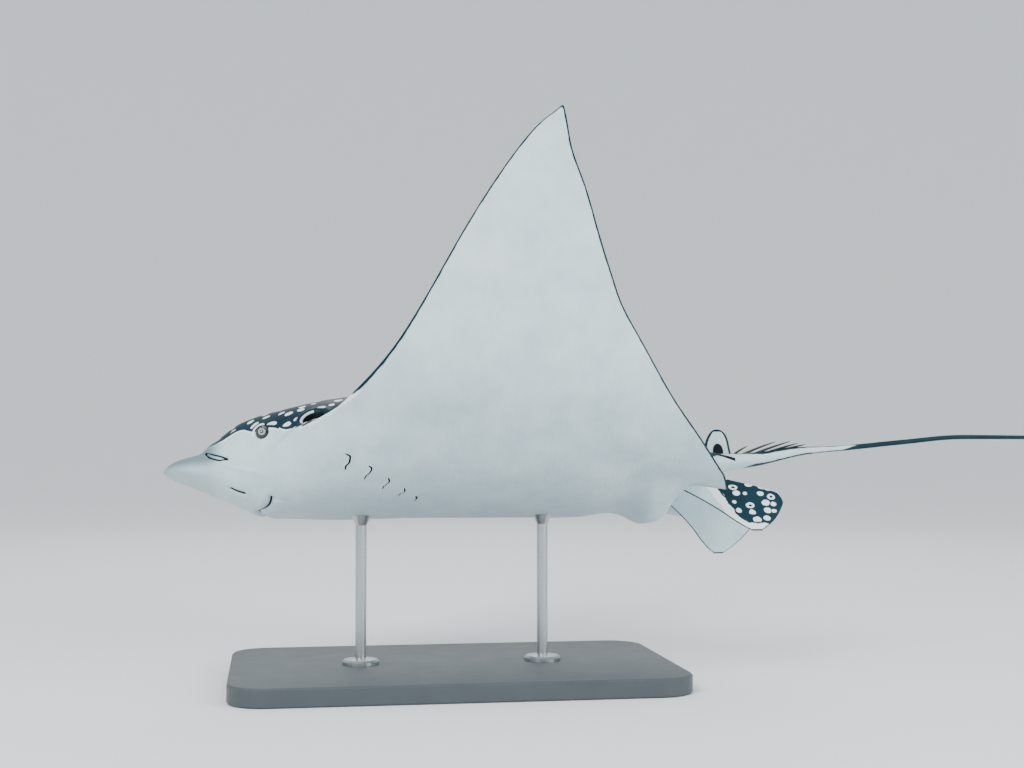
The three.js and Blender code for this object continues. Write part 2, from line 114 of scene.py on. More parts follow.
def add_floor():
    """A round floor of pale paper that sweeps up into a wall well behind every camera."""
    radius, sweep, wall, turns, steps = 4.5, 7.5, 12.0, 96, 24
    profile = [(radius * part, 0) for part in (0.25, 0.5, 0.75, 1)]
    profile += [(radius + sweep * math.sin(a), sweep * (1 - math.cos(a)))
                for a in np.linspace(0, math.pi / 2, steps)[1:]]
    profile.append((radius + sweep, wall))
    rows = [[(r * math.cos(a), r * math.sin(a), z) for a in np.linspace(0, 2 * math.pi, turns + 1)[:-1]]
            for r, z in profile]
    points = [(0, 0, 0)] + [point for row in rows for point in row]
    faces = [(0, 1 + i, 1 + (i + 1) % turns) for i in range(turns)]
    for row in range(len(rows) - 1):
        for i in range(turns):
            j = (i + 1) % turns
            first = 1 + row * turns
            faces.append((first + j, first + i, first + turns + i, first + turns + j))
    mesh = bpy.data.meshes.new("studio_floor")
    mesh.from_pydata(points, [], faces)
    mesh.shade_smooth()
    material, node = new_material("studio_paper")
    paper = node("ShaderNodeBsdfPrincipled", {
        "Base Color": linear("#EDEFF0"), "Roughness": 0.9, "Specular IOR Level": 0.1})
    node("ShaderNodeOutputMaterial", {"Surface": paper})
    add_piece("studio_floor", mesh, material)


def add_backdrop_light():
    world = bpy.data.worlds.new("studio")
    world.use_nodes = True
    background = world.node_tree.nodes["Background"]
    background.inputs["Color"].default_value = linear("#E6EBEF")
    background.inputs["Strength"].default_value = 1.2
    bpy.context.scene.world = world


add_camera()
add_floor()
add_backdrop_light()
add_soft_box("key", (-2.2, -3.2, 3.4), (0, 0, 0.5), (2.4, 2.4), 210)
add_soft_box("fill", (3.0, -2.6, 1.8), (0.2, 0, 0.5), (2.0, 2.0), 95)
add_soft_box("back", (0.6, 3.4, 3.0), (0, 0, 0.5), (2.4, 1.6), 45)

# ---------------------------------------------------------------------------------------------
# Skin of the ray: one closed hide over head, trunk, wings, fins and tail. It is shaped flat, as
# if the ray lay spread out, and then the wings are raised and the body banked, as in the solids.
# Its smooth, scaleless hide is dark with white spots above, and pale below.
# ---------------------------------------------------------------------------------------------
BELLY_LIGHT = "#D0E3E8"
BELLY_SHADE = "#B8CFD7"
SPOT_WHITE = "#EDF4F3"
# Spots on the head, on the disc behind it and on the pelvic fins: pitch and radius (mm).
HEAD_SPOTS, DISC_SPOTS, FIN_SPOTS = (26, 5.6), (36, 8.6), (21, 5.6)
HEAD_END, RINGS_START, SPOTS_END = (0.305, 0.295), (0.6, 0.68), (0.93, 0.9)    # metres back
DISC_WIDTH = 1.5                   # metres; flat places below are in parts of this
BANK = math.radians(14)            # how far the body leans over
BANK_HEIGHT = 0.06                 # height of the line that it leans about, over the keel
WING_RISE = math.radians(76)       # slope of the wing where its strong bend ends
TIP_RISE = math.radians(100)       # slope of the wing at its tip
BELLY_HEIGHT = 0.27                # metres from the floor to the keel
BALANCE = 0.465                    # metres from the snout back to the frame's origin
EDGE = 1.6 * MM / DISC_WIDTH       # thickness of the wing's rims
ROOT = 0.075                       # distance out at which the wing leaves the trunk,
BEND_END = 0.28                    # at which its strong bend ends,
TIP = 0.499                        # and at which it ends
ROOT_FRONT = 0.12                  # distance back at which the wing's root starts,
ROOT_REAR = 0.6                    # at which it ends,
NOTCH = 0.565                      # at which the free rear lobe parts from the trunk,
TAIL_START = 0.665                 # and at which the whip goes on from the tail base
UPPER_SHARE = 0.6                  # part of a wing's thickness that lies over its line


def curve(*knots):
    """A smooth curve through a few knots (position, value) that never swings past them."""
    xs, vs = (np.array(column, float) for column in zip(*knots))
    steps = np.diff(vs) / np.diff(xs)
    before, after = steps[:-1], steps[1:]
    even = before * after > 0
    inner = np.where(even, 2 * before * after / np.where(even, before + after, 1), 0)
    slopes = np.concatenate([steps[:1], inner, steps[-1:]])

    def value(x):
        x = np.clip(x, xs[0], xs[-1])
        i = np.clip(np.searchsorted(xs, x, side="right") - 1, 0, len(steps) - 1)
        h = xs[i + 1] - xs[i]
        t = (x - xs[i]) / h
        u = 1 - t
        return (vs[i] * (1 + 2 * t) * u * u + vs[i + 1] * (3 - 2 * t) * t * t
                + h * t * u * (slopes[i] * u - slopes[i + 1] * t))
    return value


def smooth(low, high, x):
    """0 up to low, 1 from high, and an even rise between them."""
    t = np.clip((x - low) / (high - low), 0, 1)
    return t * t * (3 - 2 * t)


# Height of the back and of the belly along the middle line.
crown = curve(
    (0, 0.049), (0.006, 0.055), (0.017, 0.06), (0.0385, 0.0655), (0.0465, 0.0735), (0.0595, 0.0838),
    (0.079, 0.0982), (0.105, 0.1072), (0.13, 0.113), (0.178, 0.1245), (0.21, 0.1285), (0.27, 0.13),
    (0.36, 0.124), (0.45, 0.108), (0.52, 0.09), (0.58, 0.073), (0.62, 0.0668),
    (TAIL_START, 0.0699))
keel = curve(
    (0, 0.047), (0.006, 0.0425), (0.021, 0.0375), (0.056, 0.023), (0.075, 0.0145), (0.094, 0.006),
    (0.12, 0.001), (0.15, 0), (0.45, 0), (0.492, 0.004), (0.504, 0.0005), (0.523, -0.0105),
    (0.54, -0.0075), (0.5555, 0.0115), (0.58, 0.034), (0.62, 0.047), (TAIL_START, 0.0547))
flank = curve(
    (0, 0.006), (0.0055, 0.0177), (0.0133, 0.0277), (0.0277, 0.0377), (0.0443, 0.0432),
    (0.061, 0.0462), (0.0776, 0.0515), (0.092, 0.0585), (0.106, 0.067), (ROOT_FRONT, ROOT),
    (0.52, ROOT), (0.55, 0.064), (0.575, 0.05), (0.6, 0.033), (0.62, 0.021), (0.64, 0.0135),
    (TAIL_START, 0.0085))
wing_line = curve(
    (0, 0.048), (0.02, 0.045), (0.06, 0.044), (0.09, 0.05), (0.12, 0.061), (0.15, 0.068),
    (0.2, 0.065), (0.25, 0.058), (0.4, 0.045), (0.5, 0.03), (0.55, 0.024), (ROOT_REAR, 0.012))
tail_line = curve((NOTCH, float(wing_line(NOTCH))), (0.59, 0.042), (0.62, 0.057), (TAIL_START, 0.0625))
# How far out the back and the belly swell over the wings, and the power and fullness of each arch.
back_reach = curve(
    (0.1, 0.0635), (0.12, 0.07), (0.15, 0.073), (0.18, 0.082), (0.22, 0.108), (0.28, 0.142),
    (0.34, 0.155), (0.42, 0.155), (0.5, 0.105), (0.55, 0.066), (0.575, 0.05), (0.6, 0.033))
belly_reach = curve(
    (0.106, 0.067), (0.12, 0.075), (0.136, 0.0895), (0.152, 0.108), (0.175, 0.1335), (0.21, 0.152),
    (0.3, 0.155), (0.42, 0.155), (0.5, 0.105), (0.55, 0.066), (0.575, 0.05), (0.6, 0.033))
back_power = curve((0.02, 2.2), (0.09, 3.2), (0.16, 3), (0.26, 2))
belly_power = curve((0.02, 2.2), (0.09, 3), (0.15, 2.4), (0.26, 2))
back_fullness = curve(
    (0.08, 0.5), (0.125, 0.62), (0.16, 0.85), (0.2, 1.3), (0.28, 2), (0.48, 2), (0.57, 0.75), (0.61, 0.5))
belly_fullness = curve(
    (0.08, 0.5), (0.12, 0.62), (0.16, 0.85), (0.22, 1.4), (0.3, 2), (0.48, 2), (0.57, 0.75), (0.61, 0.5))
front_edge = curve(
    (ROOT, ROOT_FRONT), (0.085, 0.131), (0.1, 0.144), (0.12, 0.16), (0.145, 0.1797),
    (0.165, 0.1918), (0.19, 0.2085), (0.224, 0.2302), (0.275, 0.259), (0.351, 0.3), (0.405, 0.332),
    (0.463, 0.371), (0.479, 0.3845), (0.49, 0.396), (TIP, 0.4045))
rear_edge = curve(
    (ROOT, ROOT_REAR), (0.106, 0.588), (0.118, 0.58), (0.162, 0.548), (0.208, 0.512),
    (0.254, 0.481), (0.295, 0.456), (0.312, 0.45), (0.355, 0.437), (0.404, 0.425), (0.455, 0.4115),
    (0.486, 0.409), (TIP, 0.4075))
inner_margin = curve((NOTCH, 0.0562), (0.58, 0.0615), (0.592, 0.067), (ROOT_REAR, 0.0705))


def waist(x):
    """Height of the line along the flank where back and belly meet."""
    return np.where(x <= NOTCH, wing_line(x), tail_line(x))


def wing_inner(x):
    """Distance out at which the wing leaves the body."""
    return np.where(x <= NOTCH, flank(x), inner_margin(x))


def wing_depth(c, y, inner):
    """Thickness of the wing alone at chord part c and distance out y."""
    free = smooth(0.9, 0.95, c)
    thin = 1 + free * (smooth(0, 0.03, y - inner) - 1)
    reach = np.clip((y - ROOT) / (0.5 - ROOT), 0, 1)
    return (0.003 + 0.042 * (1 - reach) ** 1.8) * np.sqrt(c) * (1 - c) ** 1.1 / 0.37 * thin


def root_chord(x):
    """Distance back as a part of the wing's root."""
    return np.clip((x - ROOT_FRONT) / (ROOT_REAR - ROOT_FRONT), 0, 1)


def height(x, y, c, inner, over, line):
    """Height of the upper or lower skin: the wing's own depth, and the body's arch over it."""
    share, sign = (UPPER_SHARE, 1) if over else (UPPER_SHARE - 1, -1)
    skin = line(x) + sign * EDGE / 2 + share * wing_depth(c, y, inner)
    middle = line(x) + sign * EDGE / 2 + share * wing_depth(root_chord(x), ROOT, ROOT)
    crest, reach, power, fullness = (
        (crown(x), back_reach(x), back_power(x), back_fullness(x)) if over else
        (keel(x), belly_reach(x), belly_power(x), belly_fullness(x)))
    reach = np.where(x < (0.1 if over else 0.106), flank(x), reach)
    reach = np.where(x > ROOT_REAR, flank(x), reach)
    return skin + (crest - middle) * (1 - np.minimum(1, np.abs(y) / reach) ** power) ** fullness


def trunk_height(x, y, over):
    """Height of the back or the belly of head, trunk and tail base."""
    return height(x, y, root_chord(x), np.full_like(x, ROOT), over, waist)


def bend(points):
    """Flat places (parts of the disc width) to places in the posed model (metres).

    Each wing rises in a strong arc and then a weaker one, and the body leans over."""
    x, y, z = points[..., 0], points[..., 1], points[..., 2]
    line = wing_line(x)
    inner = WING_RISE / (BEND_END - ROOT)
    outer = (TIP_RISE - WING_RISE) / (TIP - BEND_END)
    reach = np.abs(y)
    a = inner * np.clip(reach - ROOT, 0, BEND_END - ROOT)
    slope = a + outer * np.clip(reach - BEND_END, 0, None)
    out = np.minimum(reach, ROOT) + np.sin(a) / inner + (np.sin(slope) - np.sin(a)) / outer
    up = (1 - np.cos(a)) / inner + (np.cos(a) - np.cos(slope)) / outer
    across = np.sign(y) * (out - (z - line) * np.sin(slope)) * DISC_WIDTH
    height = (line + up + (z - line) * np.cos(slope)) * DISC_WIDTH - BANK_HEIGHT
    return np.stack([
        x * DISC_WIDTH - BALANCE,
        across * math.cos(BANK) + height * math.sin(BANK),
        -across * math.sin(BANK) + height * math.cos(BANK) + BANK_HEIGHT + BELLY_HEIGHT], -1)


def stations():
    """Places along the body: close on the head and gills, wider on the trunk."""
    spacing = curve((0, 0.0006), (0.01, 0.0014), (0.2, 0.0016), (0.265, 0.0019), (0.3, 0.0042),
                    (0.5, 0.0042), (0.55, 0.0028), (TAIL_START, 0.0028))
    fixed = [0.0, ROOT_FRONT, NOTCH, ROOT_REAR, TAIL_START]
    places = [0.0]
    for start, end in zip(fixed[:-1], fixed[1:]):
        dense = np.linspace(start, end, 4000)
        count = np.concatenate([[0], np.cumsum(np.diff(dense) / spacing((dense[1:] + dense[:-1]) / 2))])
        steps = max(2, round(count[-1]))
        places += list(np.interp(np.arange(1, steps + 1) * count[-1] / steps, count, dense))
    return np.array(places)


ARCH = 30          # points from flank to middle on each quarter
SPAN = 46          # steps out along a wing
X = stations()


def arch_rows(over):
    """Flat points of the upper or lower half of each ring, right flank to left, and their arcs."""
    a = np.linspace(0, math.pi / 2, 500)
    r = np.cos(a) ** 0.8
    rows, arcs = [], []
    for x in X:
        y = r * flank(x)
        z = trunk_height(np.full_like(r, x), y, over)
        length = np.concatenate([[0], np.cumsum(np.hypot(np.diff(y), np.diff(z)))])
        even = np.linspace(0, length[-1], ARCH + 1)
        half = np.stack([
            np.full(ARCH + 1, x), np.interp(even, length, y), np.interp(even, length, z)], -1)
        half[-1, 1] = 0
        rows.append(np.concatenate([half, half[-2::-1] * (1, -1, 1)]))
        arcs.append(np.concatenate([length[-1] - even, even[-2::-1] - length[-1]]))
    return np.array(rows), np.array(arcs)


FAR = 1.0                                    # farther from a line than any paint reaches
DISC, PELVIC, DORSAL, FOLD = range(4)       # kinds of marking
UNPAINTED = {"along": 0, "out": 0, "kind": DISC, "back": 0, "rim": FAR, "band": FAR, "dusk": 0,
             "ink": -FAR, "light": -FAR}


def quads(grid):
    """Faces between the rows of a grid of point numbers."""
    corners = grid[:-1, :-1], grid[:-1, 1:], grid[1:, 1:], grid[1:, :-1]
    return np.stack([corner.ravel() for corner in corners], -1).tolist()


class Hide:
    """Vertices and faces of the hide, with the values that its markings are painted from."""

    def __init__(self):
        self.points, self.faces = [], []
        self.values = {name: [] for name in UNPAINTED}

    def add(self, points, **values):
        """Adds placed points in rows, and returns the grid of their numbers."""
        first = len(self.points)
        self.points += list(points.reshape(-1, 3))
        for name, column in self.values.items():
            value = values.get(name, UNPAINTED[name])
            column += list(np.broadcast_to(value, points.shape[:-1]).ravel())
        return np.arange(first, len(self.points)).reshape(points.shape[:-1])

    def fill(self, grid):
        self.faces += quads(grid)

    def strip(self, one, two):
        self.fill(np.stack([one, two]))


WRAP = 3.0 * MM                              # the dark back folds this far round the wing's rims,
PALE_RIM = 3.5 * MM                          # but beside the head it stops short of the rim
# Height of the line between dark back and pale belly on the side of the head and of the tail.
paint_line = curve((0.03, 0.072), (0.045, 0.0685), (0.06, 0.0735), (0.07, 0.0795), (0.0749, 0.0822),
                   (0.0823, 0.0845), (0.0919, 0.0798), (0.0993, 0.0765), (0.11, 0.081), (0.13, 0.0795))
tail_paint = curve((0.55, 0.02), (0.58, 0.045), (0.6, 0.058), (0.62, 0.0645), (TAIL_START, 0.0655))
# Where the paint line leaves the head it runs out to the wing's front rim: how far beyond the flank.
shoulder_line = curve((ROOT_FRONT, -0.0237), (0.125, -0.0129), (0.13, -0.0075), (0.135, -0.0035),
                      (0.139, 0.006), (0.143, 0.02), (0.147, 0.04), (0.153, 0.1), (0.16, 0.5))
DEEP = 10 * MM                               # values of the paint lines are kept within this
# A dark streak on each side of the tail base: its height, and half its width.
streak = curve((0.604, 0.0622), (0.609, 0.0612), (0.628, 0.0572))
STREAK_HALF = 0.0019


def body_back(rows, arcs, over):
    """Signed distance over the paint line on the head and trunk, or under it below the tail."""
    x, z = rows[..., 0], rows[..., 2]
    head = (z - paint_line(x)) * DISC_WIDTH
    under = keel(x) - 0.001 + 0.0025 * smooth(0.63, 0.66, x)
    rear = np.maximum(z - tail_paint(x), under - z) * DISC_WIDTH
    if over:
        beyond = arcs[:, :1] + shoulder_line(x) - np.abs(arcs)
        trunk = np.clip(beyond * DISC_WIDTH, -DEEP, DEEP)
    else:
        trunk = np.full_like(x, -DEEP)
    value = np.where(x < ROOT_FRONT, head, trunk)
    return np.where(x > NOTCH - 0.01, rear, value)


def lobe_dusk(rows):
    """How dusky the rostral lobe is: a little all over, and more on its upper side."""
    return smooth(0.066, 0.046, rows[..., 0]) * (0.25 + 0.75 * smooth(0.04, 0.054, rows[..., 2]))


def tail_streak(rows):
    """Signed distance inside the dark streak on the side of the tail base."""
    x, z = rows[..., 0], rows[..., 2]
    inside = STREAK_HALF - np.abs(z - streak(x))
    return np.minimum(inside, np.minimum(x - 0.6035, 0.629 - x) / 2) * DISC_WIDTH


hide = Hide()
halves = []
for over in (True, False):
    rows, arcs = arch_rows(over)
    halves.append(hide.add(
        bend(rows), along=rows[..., 0] * DISC_WIDTH, out=arcs * DISC_WIDTH, kind=DISC,
        back=body_back(rows, arcs, over), ink=tail_streak(rows), dusk=lobe_dusk(rows)))
    hide.fill(halves[-1])
    if over:
        flank_arc = arcs[:, 0]
top, low = halves
hide.strip(top[0], low[0])
bare = (X[:-1] < ROOT_FRONT - 1e-9) | (X[:-1] >= NOTCH - 1e-9)
for i in np.flatnonzero(bare):
    hide.strip(top[i:i + 2, 0], low[i:i + 2, 0])
    hide.strip(top[i:i + 2, -1], low[i:i + 2, -1])

# A wing grows out of the flank: the chord stations of its root are the trunk's own.
root = np.flatnonzero((X >= ROOT_FRONT - 1e-9) & (X <= ROOT_REAR + 1e-9))
chord = root_chord(X[root])
free = X[root] > NOTCH + 1e-9
span_part = np.arange(SPAN + 1) / SPAN
out_at = ROOT + (TIP - ROOT) * (0.6 * span_part + 0.4 * np.sin(span_part * math.pi / 2))
for side, column in ((1, 0), (-1, -1)):
    c, y = np.meshgrid(chord, out_at)
    inner = wing_inner(ROOT_FRONT + c * (ROOT_REAR - ROOT_FRONT))
    out = y + (inner - ROOT) * np.clip(1 - (y - ROOT) / 0.07, 0, 1) ** 2
    x = front_edge(y) + c * (rear_edge(y) - front_edge(y))
    rim = np.minimum(np.minimum(x - front_edge(y), rear_edge(y) - x), TIP - y) * DISC_WIDTH
    arc = side * (out + flank_arc[root] - ROOT) * DISC_WIDTH
    grids = []
    for over, trunk_grid in ((True, top), (False, low)):
        placed = bend(np.stack([x, side * out, height(x, out, c, inner, over, wing_line)], -1))
        beyond = np.clip((shoulder_line(x) - (out - ROOT)) * DISC_WIDTH, -DEEP, DEEP)
        wrap = WRAP * smooth(0.18, 0.205, x) - PALE_RIM * smooth(0.205, 0.18, x)
        back = np.minimum(wrap + (rim if over else -rim), beyond)
        paint = {"along": x * DISC_WIDTH, "out": arc, "rim": rim, "back": back}
        new = hide.add(placed[1:], **{name: value[1:] for name, value in paint.items()})
        edge = trunk_grid[root, column].copy()
        edge[free] = hide.add(placed[0, free], **{name: value[0, free] for name, value in paint.items()})
        grids.append(np.vstack([edge, new]))
        hide.fill(grids[-1])
    upper, lower = grids
    hide.strip(upper[:, 0], lower[:, 0])
    hide.strip(upper[:, -1], lower[:, -1])
    hide.strip(upper[-1], lower[-1])
    margin = np.flatnonzero(free)
    margin = np.concatenate([[margin[0] - 1], margin])
    hide.strip(upper[0, margin], lower[0, margin])

# The whip goes on from the tail base in rings with fewer points, and thins out to a soft tip.
WHIP_LENGTH = 1.16
WHIP_STEPS = 110
SHARE = 5                          # points of the tail base for each point of the whip
whip_height = curve((0, 0.0624), (0.05, 0.071), (0.1, 0.0745), (0.17, 0.0812), (0.25, 0.0875),
                    (0.34, 0.087), (0.5, 0.078), (0.68, 0.062), (0.86, 0.045), (1.02, 0.034),
                    (WHIP_LENGTH, 0.028))
whip_side = curve((0.1, 0), (0.17, 0.001), (0.25, 0.006), (0.34, 0.018), (0.5, 0.055), (0.68, 0.115),
                  (0.86, 0.18), (1.02, 0.225), (WHIP_LENGTH, 0.24))
whip_radius = curve((0, 11.2), (0.03, 9), (0.055, 6.6), (0.09, 4.7), (0.19, 4.2), (0.47, 3), (0.87, 1.9),
                    (WHIP_LENGTH, 1))


def whip_place(along):
    """Middle of the whip at a distance back from the tail base, in metres."""
    flat = np.stack([TAIL_START + along, np.zeros_like(along), whip_height(along)], -1)
    return bend(flat) + whip_side(along)[..., None] * np.array([0, DISC_WIDTH, 0])


def whip_frame(along):
    """Unit vectors across and over the whip."""
    ahead = whip_place(along + 1e-4) - whip_place(along - 1e-4)
    ahead /= np.linalg.norm(ahead, axis=-1, keepdims=True)
    across = np.array([0, math.cos(BANK), -math.sin(BANK)]) + 0 * ahead
    across -= ahead * np.sum(across * ahead, -1, keepdims=True)
    across /= np.linalg.norm(across, axis=-1, keepdims=True)
    return across, np.cross(ahead, across)


sides = 2 * ARCH // SHARE
along, angle = np.meshgrid(
    WHIP_LENGTH * np.linspace(0.02, 1, WHIP_STEPS) ** 1.25, (np.arange(sides) + 0.5) * math.pi / sides,
    indexing="ij")
across, over_it = whip_frame(along)
radius = whip_radius(along)[..., None] * MM
# Along the underside of the whip's front a thin strip is painted dark as shade; farther back the whip is
# dark all round, its own colour.
underside_shade_and_dark_end = -0.8 + 2.0 * smooth(0.0915, 0.1315, along)
dark_over = curve((0, 0.4), (0.04, 0.5), (0.08, 0.65))(along)
whip_rows = []
for sign in (1, -1):
    placed = whip_place(along) + radius * (np.cos(angle)[..., None] * across
                                           + sign * np.sin(angle)[..., None] * over_it)
    whip_rows.append(hide.add(
        placed, along=(TAIL_START + along) * DISC_WIDTH, out=radius[..., 0] * angle,
        back=radius[..., 0] * np.maximum(
            underside_shade_and_dark_end - sign * np.sin(angle), sign * np.sin(angle) - dark_over)))
    hide.fill(whip_rows[-1])
for i in (0, -1):
    hide.strip(whip_rows[0][:, i], whip_rows[1][:, i])
hide.faces.append(list(whip_rows[0][-1]) + list(whip_rows[1][-1][::-1]))
for body_row, whip_row in ((top[-1], whip_rows[0][0]), (low[-1], whip_rows[1][0])):
    for k, near in enumerate(whip_row):
        for j in range(k * SHARE, (k + 1) * SHARE):
            hide.faces.append([body_row[j], body_row[j + 1], near])
        if k + 1 < sides:
            hide.faces.append([body_row[(k + 1) * SHARE], whip_row[k + 1], near])
for i, j in ((0, 0), (-1, -1)):
    hide.faces.append([top[-1][i], low[-1][i], whip_rows[1][0][j], whip_rows[0][0][j]])


BAND_SLANT, BAND_END = 0.57, 0.7   # a fin's white band: width from its slanting front and its end
FIN_EDGE, ROUND_END = 0.4, 0.004   # half a fin's thickness at its rim (mm), and how far its end rounds


def add_fin(rows, columns, span, front, rear, thickness, place, start, blob_at, kind):
    """A thin fin between two edges, dark on top behind start; place() takes (x, out, depth)."""
    c, out = np.meshgrid((1 - np.cos(np.linspace(0, math.pi, columns))) / 2, np.linspace(*span, rows))
    x = front(out) + c * (rear(out) - front(out))
    round_end = np.clip((span[1] - out) / ROUND_END, 0, 1) ** 0.5
    fullness = np.sqrt(4 * c * (1 - c)) * round_end
    depth = (FIN_EDGE + (thickness(out) / 2 - FIN_EDGE) * fullness) * MM / DISC_WIDTH
    rim = np.minimum(np.minimum(x - front(out), rear(out) - x), span[1] - out) * DISC_WIDTH
    inset = x - np.maximum(front(out), start(out))
    band = np.minimum(BAND_SLANT * inset, BAND_END * (span[1] - out)) * DISC_WIDTH
    blob = (1 - np.hypot((x - blob_at[0]) / blob_at[2], (out - blob_at[1]) / blob_at[3])) * blob_at[2]
    dark = np.clip((x - start(out)) * DISC_WIDTH, -DEEP, DEEP)
    grids = [hide.add(bend(place(x, out, sign * depth)), along=x * DISC_WIDTH, out=out * DISC_WIDTH,
                      kind=kind, rim=rim, band=band, ink=blob * DISC_WIDTH, back=back)
             for sign, back in ((1, dark), (-1, -DEEP))]
    for grid in grids:
        hide.fill(grid)
    for edge in (np.s_[:, 0], np.s_[:, -1], np.s_[0], np.s_[-1]):
        hide.strip(grids[0][edge], grids[1][edge])


# Each pelvic fin hangs out and down beside the tail base like a paddle.
PELVIC_ROOT, PELVIC_HEIGHT, PELVIC_DROOP = 0.03, 0.025, math.radians(68)
PELVIC_SWEEP = {-1: 0, 1: 0.24}    # the right fin reaches farther forward,
PELVIC_REACH = {-1: 1, 1: 1.13}    # and farther down
pelvic_dark = curve((-0.008, 0.583), (0.003, 0.5875), (0.02, 0.596), (0.034, 0.603), (0.06, 0.605))
pelvic_front = curve((-0.008, 0.54), (0.004, 0.558), (0.012, 0.57), (0.022, 0.584), (0.034, 0.599),
                     (0.046, 0.612), (0.054, 0.622), (0.0595, 0.631))
pelvic_rear = curve((-0.008, 0.612), (0.004, 0.652), (0.012, 0.669), (0.022, 0.6725), (0.034, 0.667),
                    (0.046, 0.658), (0.054, 0.6485), (0.0595, 0.641))
pelvic_depth = curve((-0.008, 12), (0.022, 7), (0.046, 5), (0.0595, 3))
for side in (-1, 1):
    add_fin(
        44, 40, (-0.008, 0.0595), pelvic_front, pelvic_rear, pelvic_depth,
        lambda x, out, depth, side=side: np.stack([
            x - PELVIC_SWEEP[side] * np.clip(out, 0, None),
            side * (PELVIC_ROOT + out * math.cos(PELVIC_DROOP) + depth * math.sin(PELVIC_DROOP)),
            PELVIC_HEIGHT - PELVIC_REACH[side] * out * math.sin(PELVIC_DROOP)
            + depth * math.cos(PELVIC_DROOP)], -1),
        pelvic_dark, (0, 0, 0.01, 0.01), PELVIC)

# The small fin on the tail base, in front of the stings.
dorsal_front = curve((0.055, 0.597), (0.074, 0.5985), (0.082, 0.6005), (0.089, 0.604), (0.0935, 0.6075),
                     (0.096, 0.611), (0.0965, 0.6133))
dorsal_rear = curve((0.055, 0.632), (0.074, 0.6285), (0.082, 0.6275), (0.089, 0.6255), (0.0935, 0.6223),
                    (0.096, 0.6185), (0.0965, 0.6164))
dorsal_depth = curve((0.055, 7), (0.082, 5), (0.096, 2.4))
add_fin(44, 26, (0.055, 0.0965), dorsal_front, dorsal_rear, dorsal_depth,
        lambda x, out, depth: np.stack([x, depth, out], -1),
        dorsal_front, (0.614, 0.0704, 0.0062, 0.0092), DORSAL)

# Places on the head are (x, y, z) flat, on its left side; radii round the eye are from its axis.
EYE = (0.1045, 0.0585, 0.0765)
EYE_RADIUS = 12 * MM
EYE_AHEAD, EYE_UP = 0.2, 0.1                 # how far the eye looks ahead and up
EYE_HIDE, EYE_BACK = 50 * MM, -16 * MM       # its own hide lies this near, and not farther back
SWELL, SWELL_AT, SWELL_WIDTH = 3.2 * MM, 13 * MM, 11 * MM
SOCKET_DEPTH, SOCKET_EDGE, SOCKET_FLOOR = 9 * MM, 11.8 * MM, 8.8 * MM
BROW_INSIDE, BROW_OUTSIDE, BROW_FADE = 11.8 * MM, 17.2 * MM, 12 * MM
BROW_AHEAD, BROW_UP = 3.2, 2.6               # which way the brow's middle lies from the eye
LID_RING, LID_TUBE, LID_RISE = 11.4, 1.9, 3.6
LID_TURNS, LID_SIDES = 48, 12
LID_DARK = 11                                # the rim turns dark a little over the eye's middle
# Breathing hole: its lip, slope, painted shade and white rim lie at these parts of its radii.
SPIRACLE = (0.1565, 0.0702, 0.0904)
SPIRACLE_SLANT = math.radians(22)
SPIRACLE_RADII = np.array([0.0118, 0.02, 0.0062]) * DISC_WIDTH
HOLE_DEPTH, HOLE_EDGE, HOLE_FLOOR = 11 * MM, 1.25, 0.35
HOLE_LIP, HOLE_LIP_AT, HOLE_LIP_WIDTH = 1.8 * MM, 1.45, 0.3
HOLE_SHADE, HOLE_WHITE = 1.05, 1.24
MOUTH_X, MOUTH_HALF, MOUTH_CURVE, LIP = 0.0995, 0.043, 0.0135, 0.0095
CREASE_OVER = ((0.0435, 0.0344, 0.0622), (0.0526, 0.0418, 0.0585), (0.0604, 0.0448, 0.0558),
               (0.0668, 0.0473, 0.0528))
CREASE_UNDER = ((0.0435, 0.0357, 0.061), (0.0486, 0.042, 0.0552), (0.0535, 0.0439, 0.053),
                (0.0601, 0.0455, 0.051), (0.0668, 0.0473, 0.0528))
LIP_FOLD = ((0.0668, 0.0471, 0.0526), (0.0705, 0.0489, 0.0475), (0.083, 0.053, 0.043),
            (0.0954, 0.0579, 0.0395))
LIP_SWELL = ((0.0612, 0.0461, 0.0481), (0.0705, 0.0489, 0.0442), (0.083, 0.053, 0.04),
             (0.0954, 0.0579, 0.0368))
NOSTRIL = ((0.0716, 0.0356, 0.0225), (0.0777, 0.0356, 0.0193), (0.085, 0.0377, 0.0167))
JAW_FOLD = ((0.113, 0.0428, 0.0101), (0.1223, 0.0441, 0.0087), (0.1307, 0.0425, 0.0058))


def mirrored(side, *places):
    """Flat places of the left side, in the posed model, on the left (-1) or the right (1)."""
    flat = np.array(places, float)
    flat[:, 1] *= side
    return bend(flat)


def outward(side, ahead, up):
    """Unit vector out of the head to one side, turned ahead and up by the given parts."""
    vector = np.array([-ahead, side * math.cos(BANK) + up * math.sin(BANK),
                       -side * math.sin(BANK) + up * math.cos(BANK)])
    return vector / np.linalg.norm(vector)


def far_from_line(points, line):
    """Distance from each point to a line through a few places."""
    least = np.full(len(points), np.inf)
    for start, end in zip(line[:-1], line[1:]):
        run = end - start
        part = np.clip((points - start) @ run / (run @ run), 0, 1)
        least = np.minimum(least, np.linalg.norm(points - start - part[:, None] * run, axis=1))
    return least
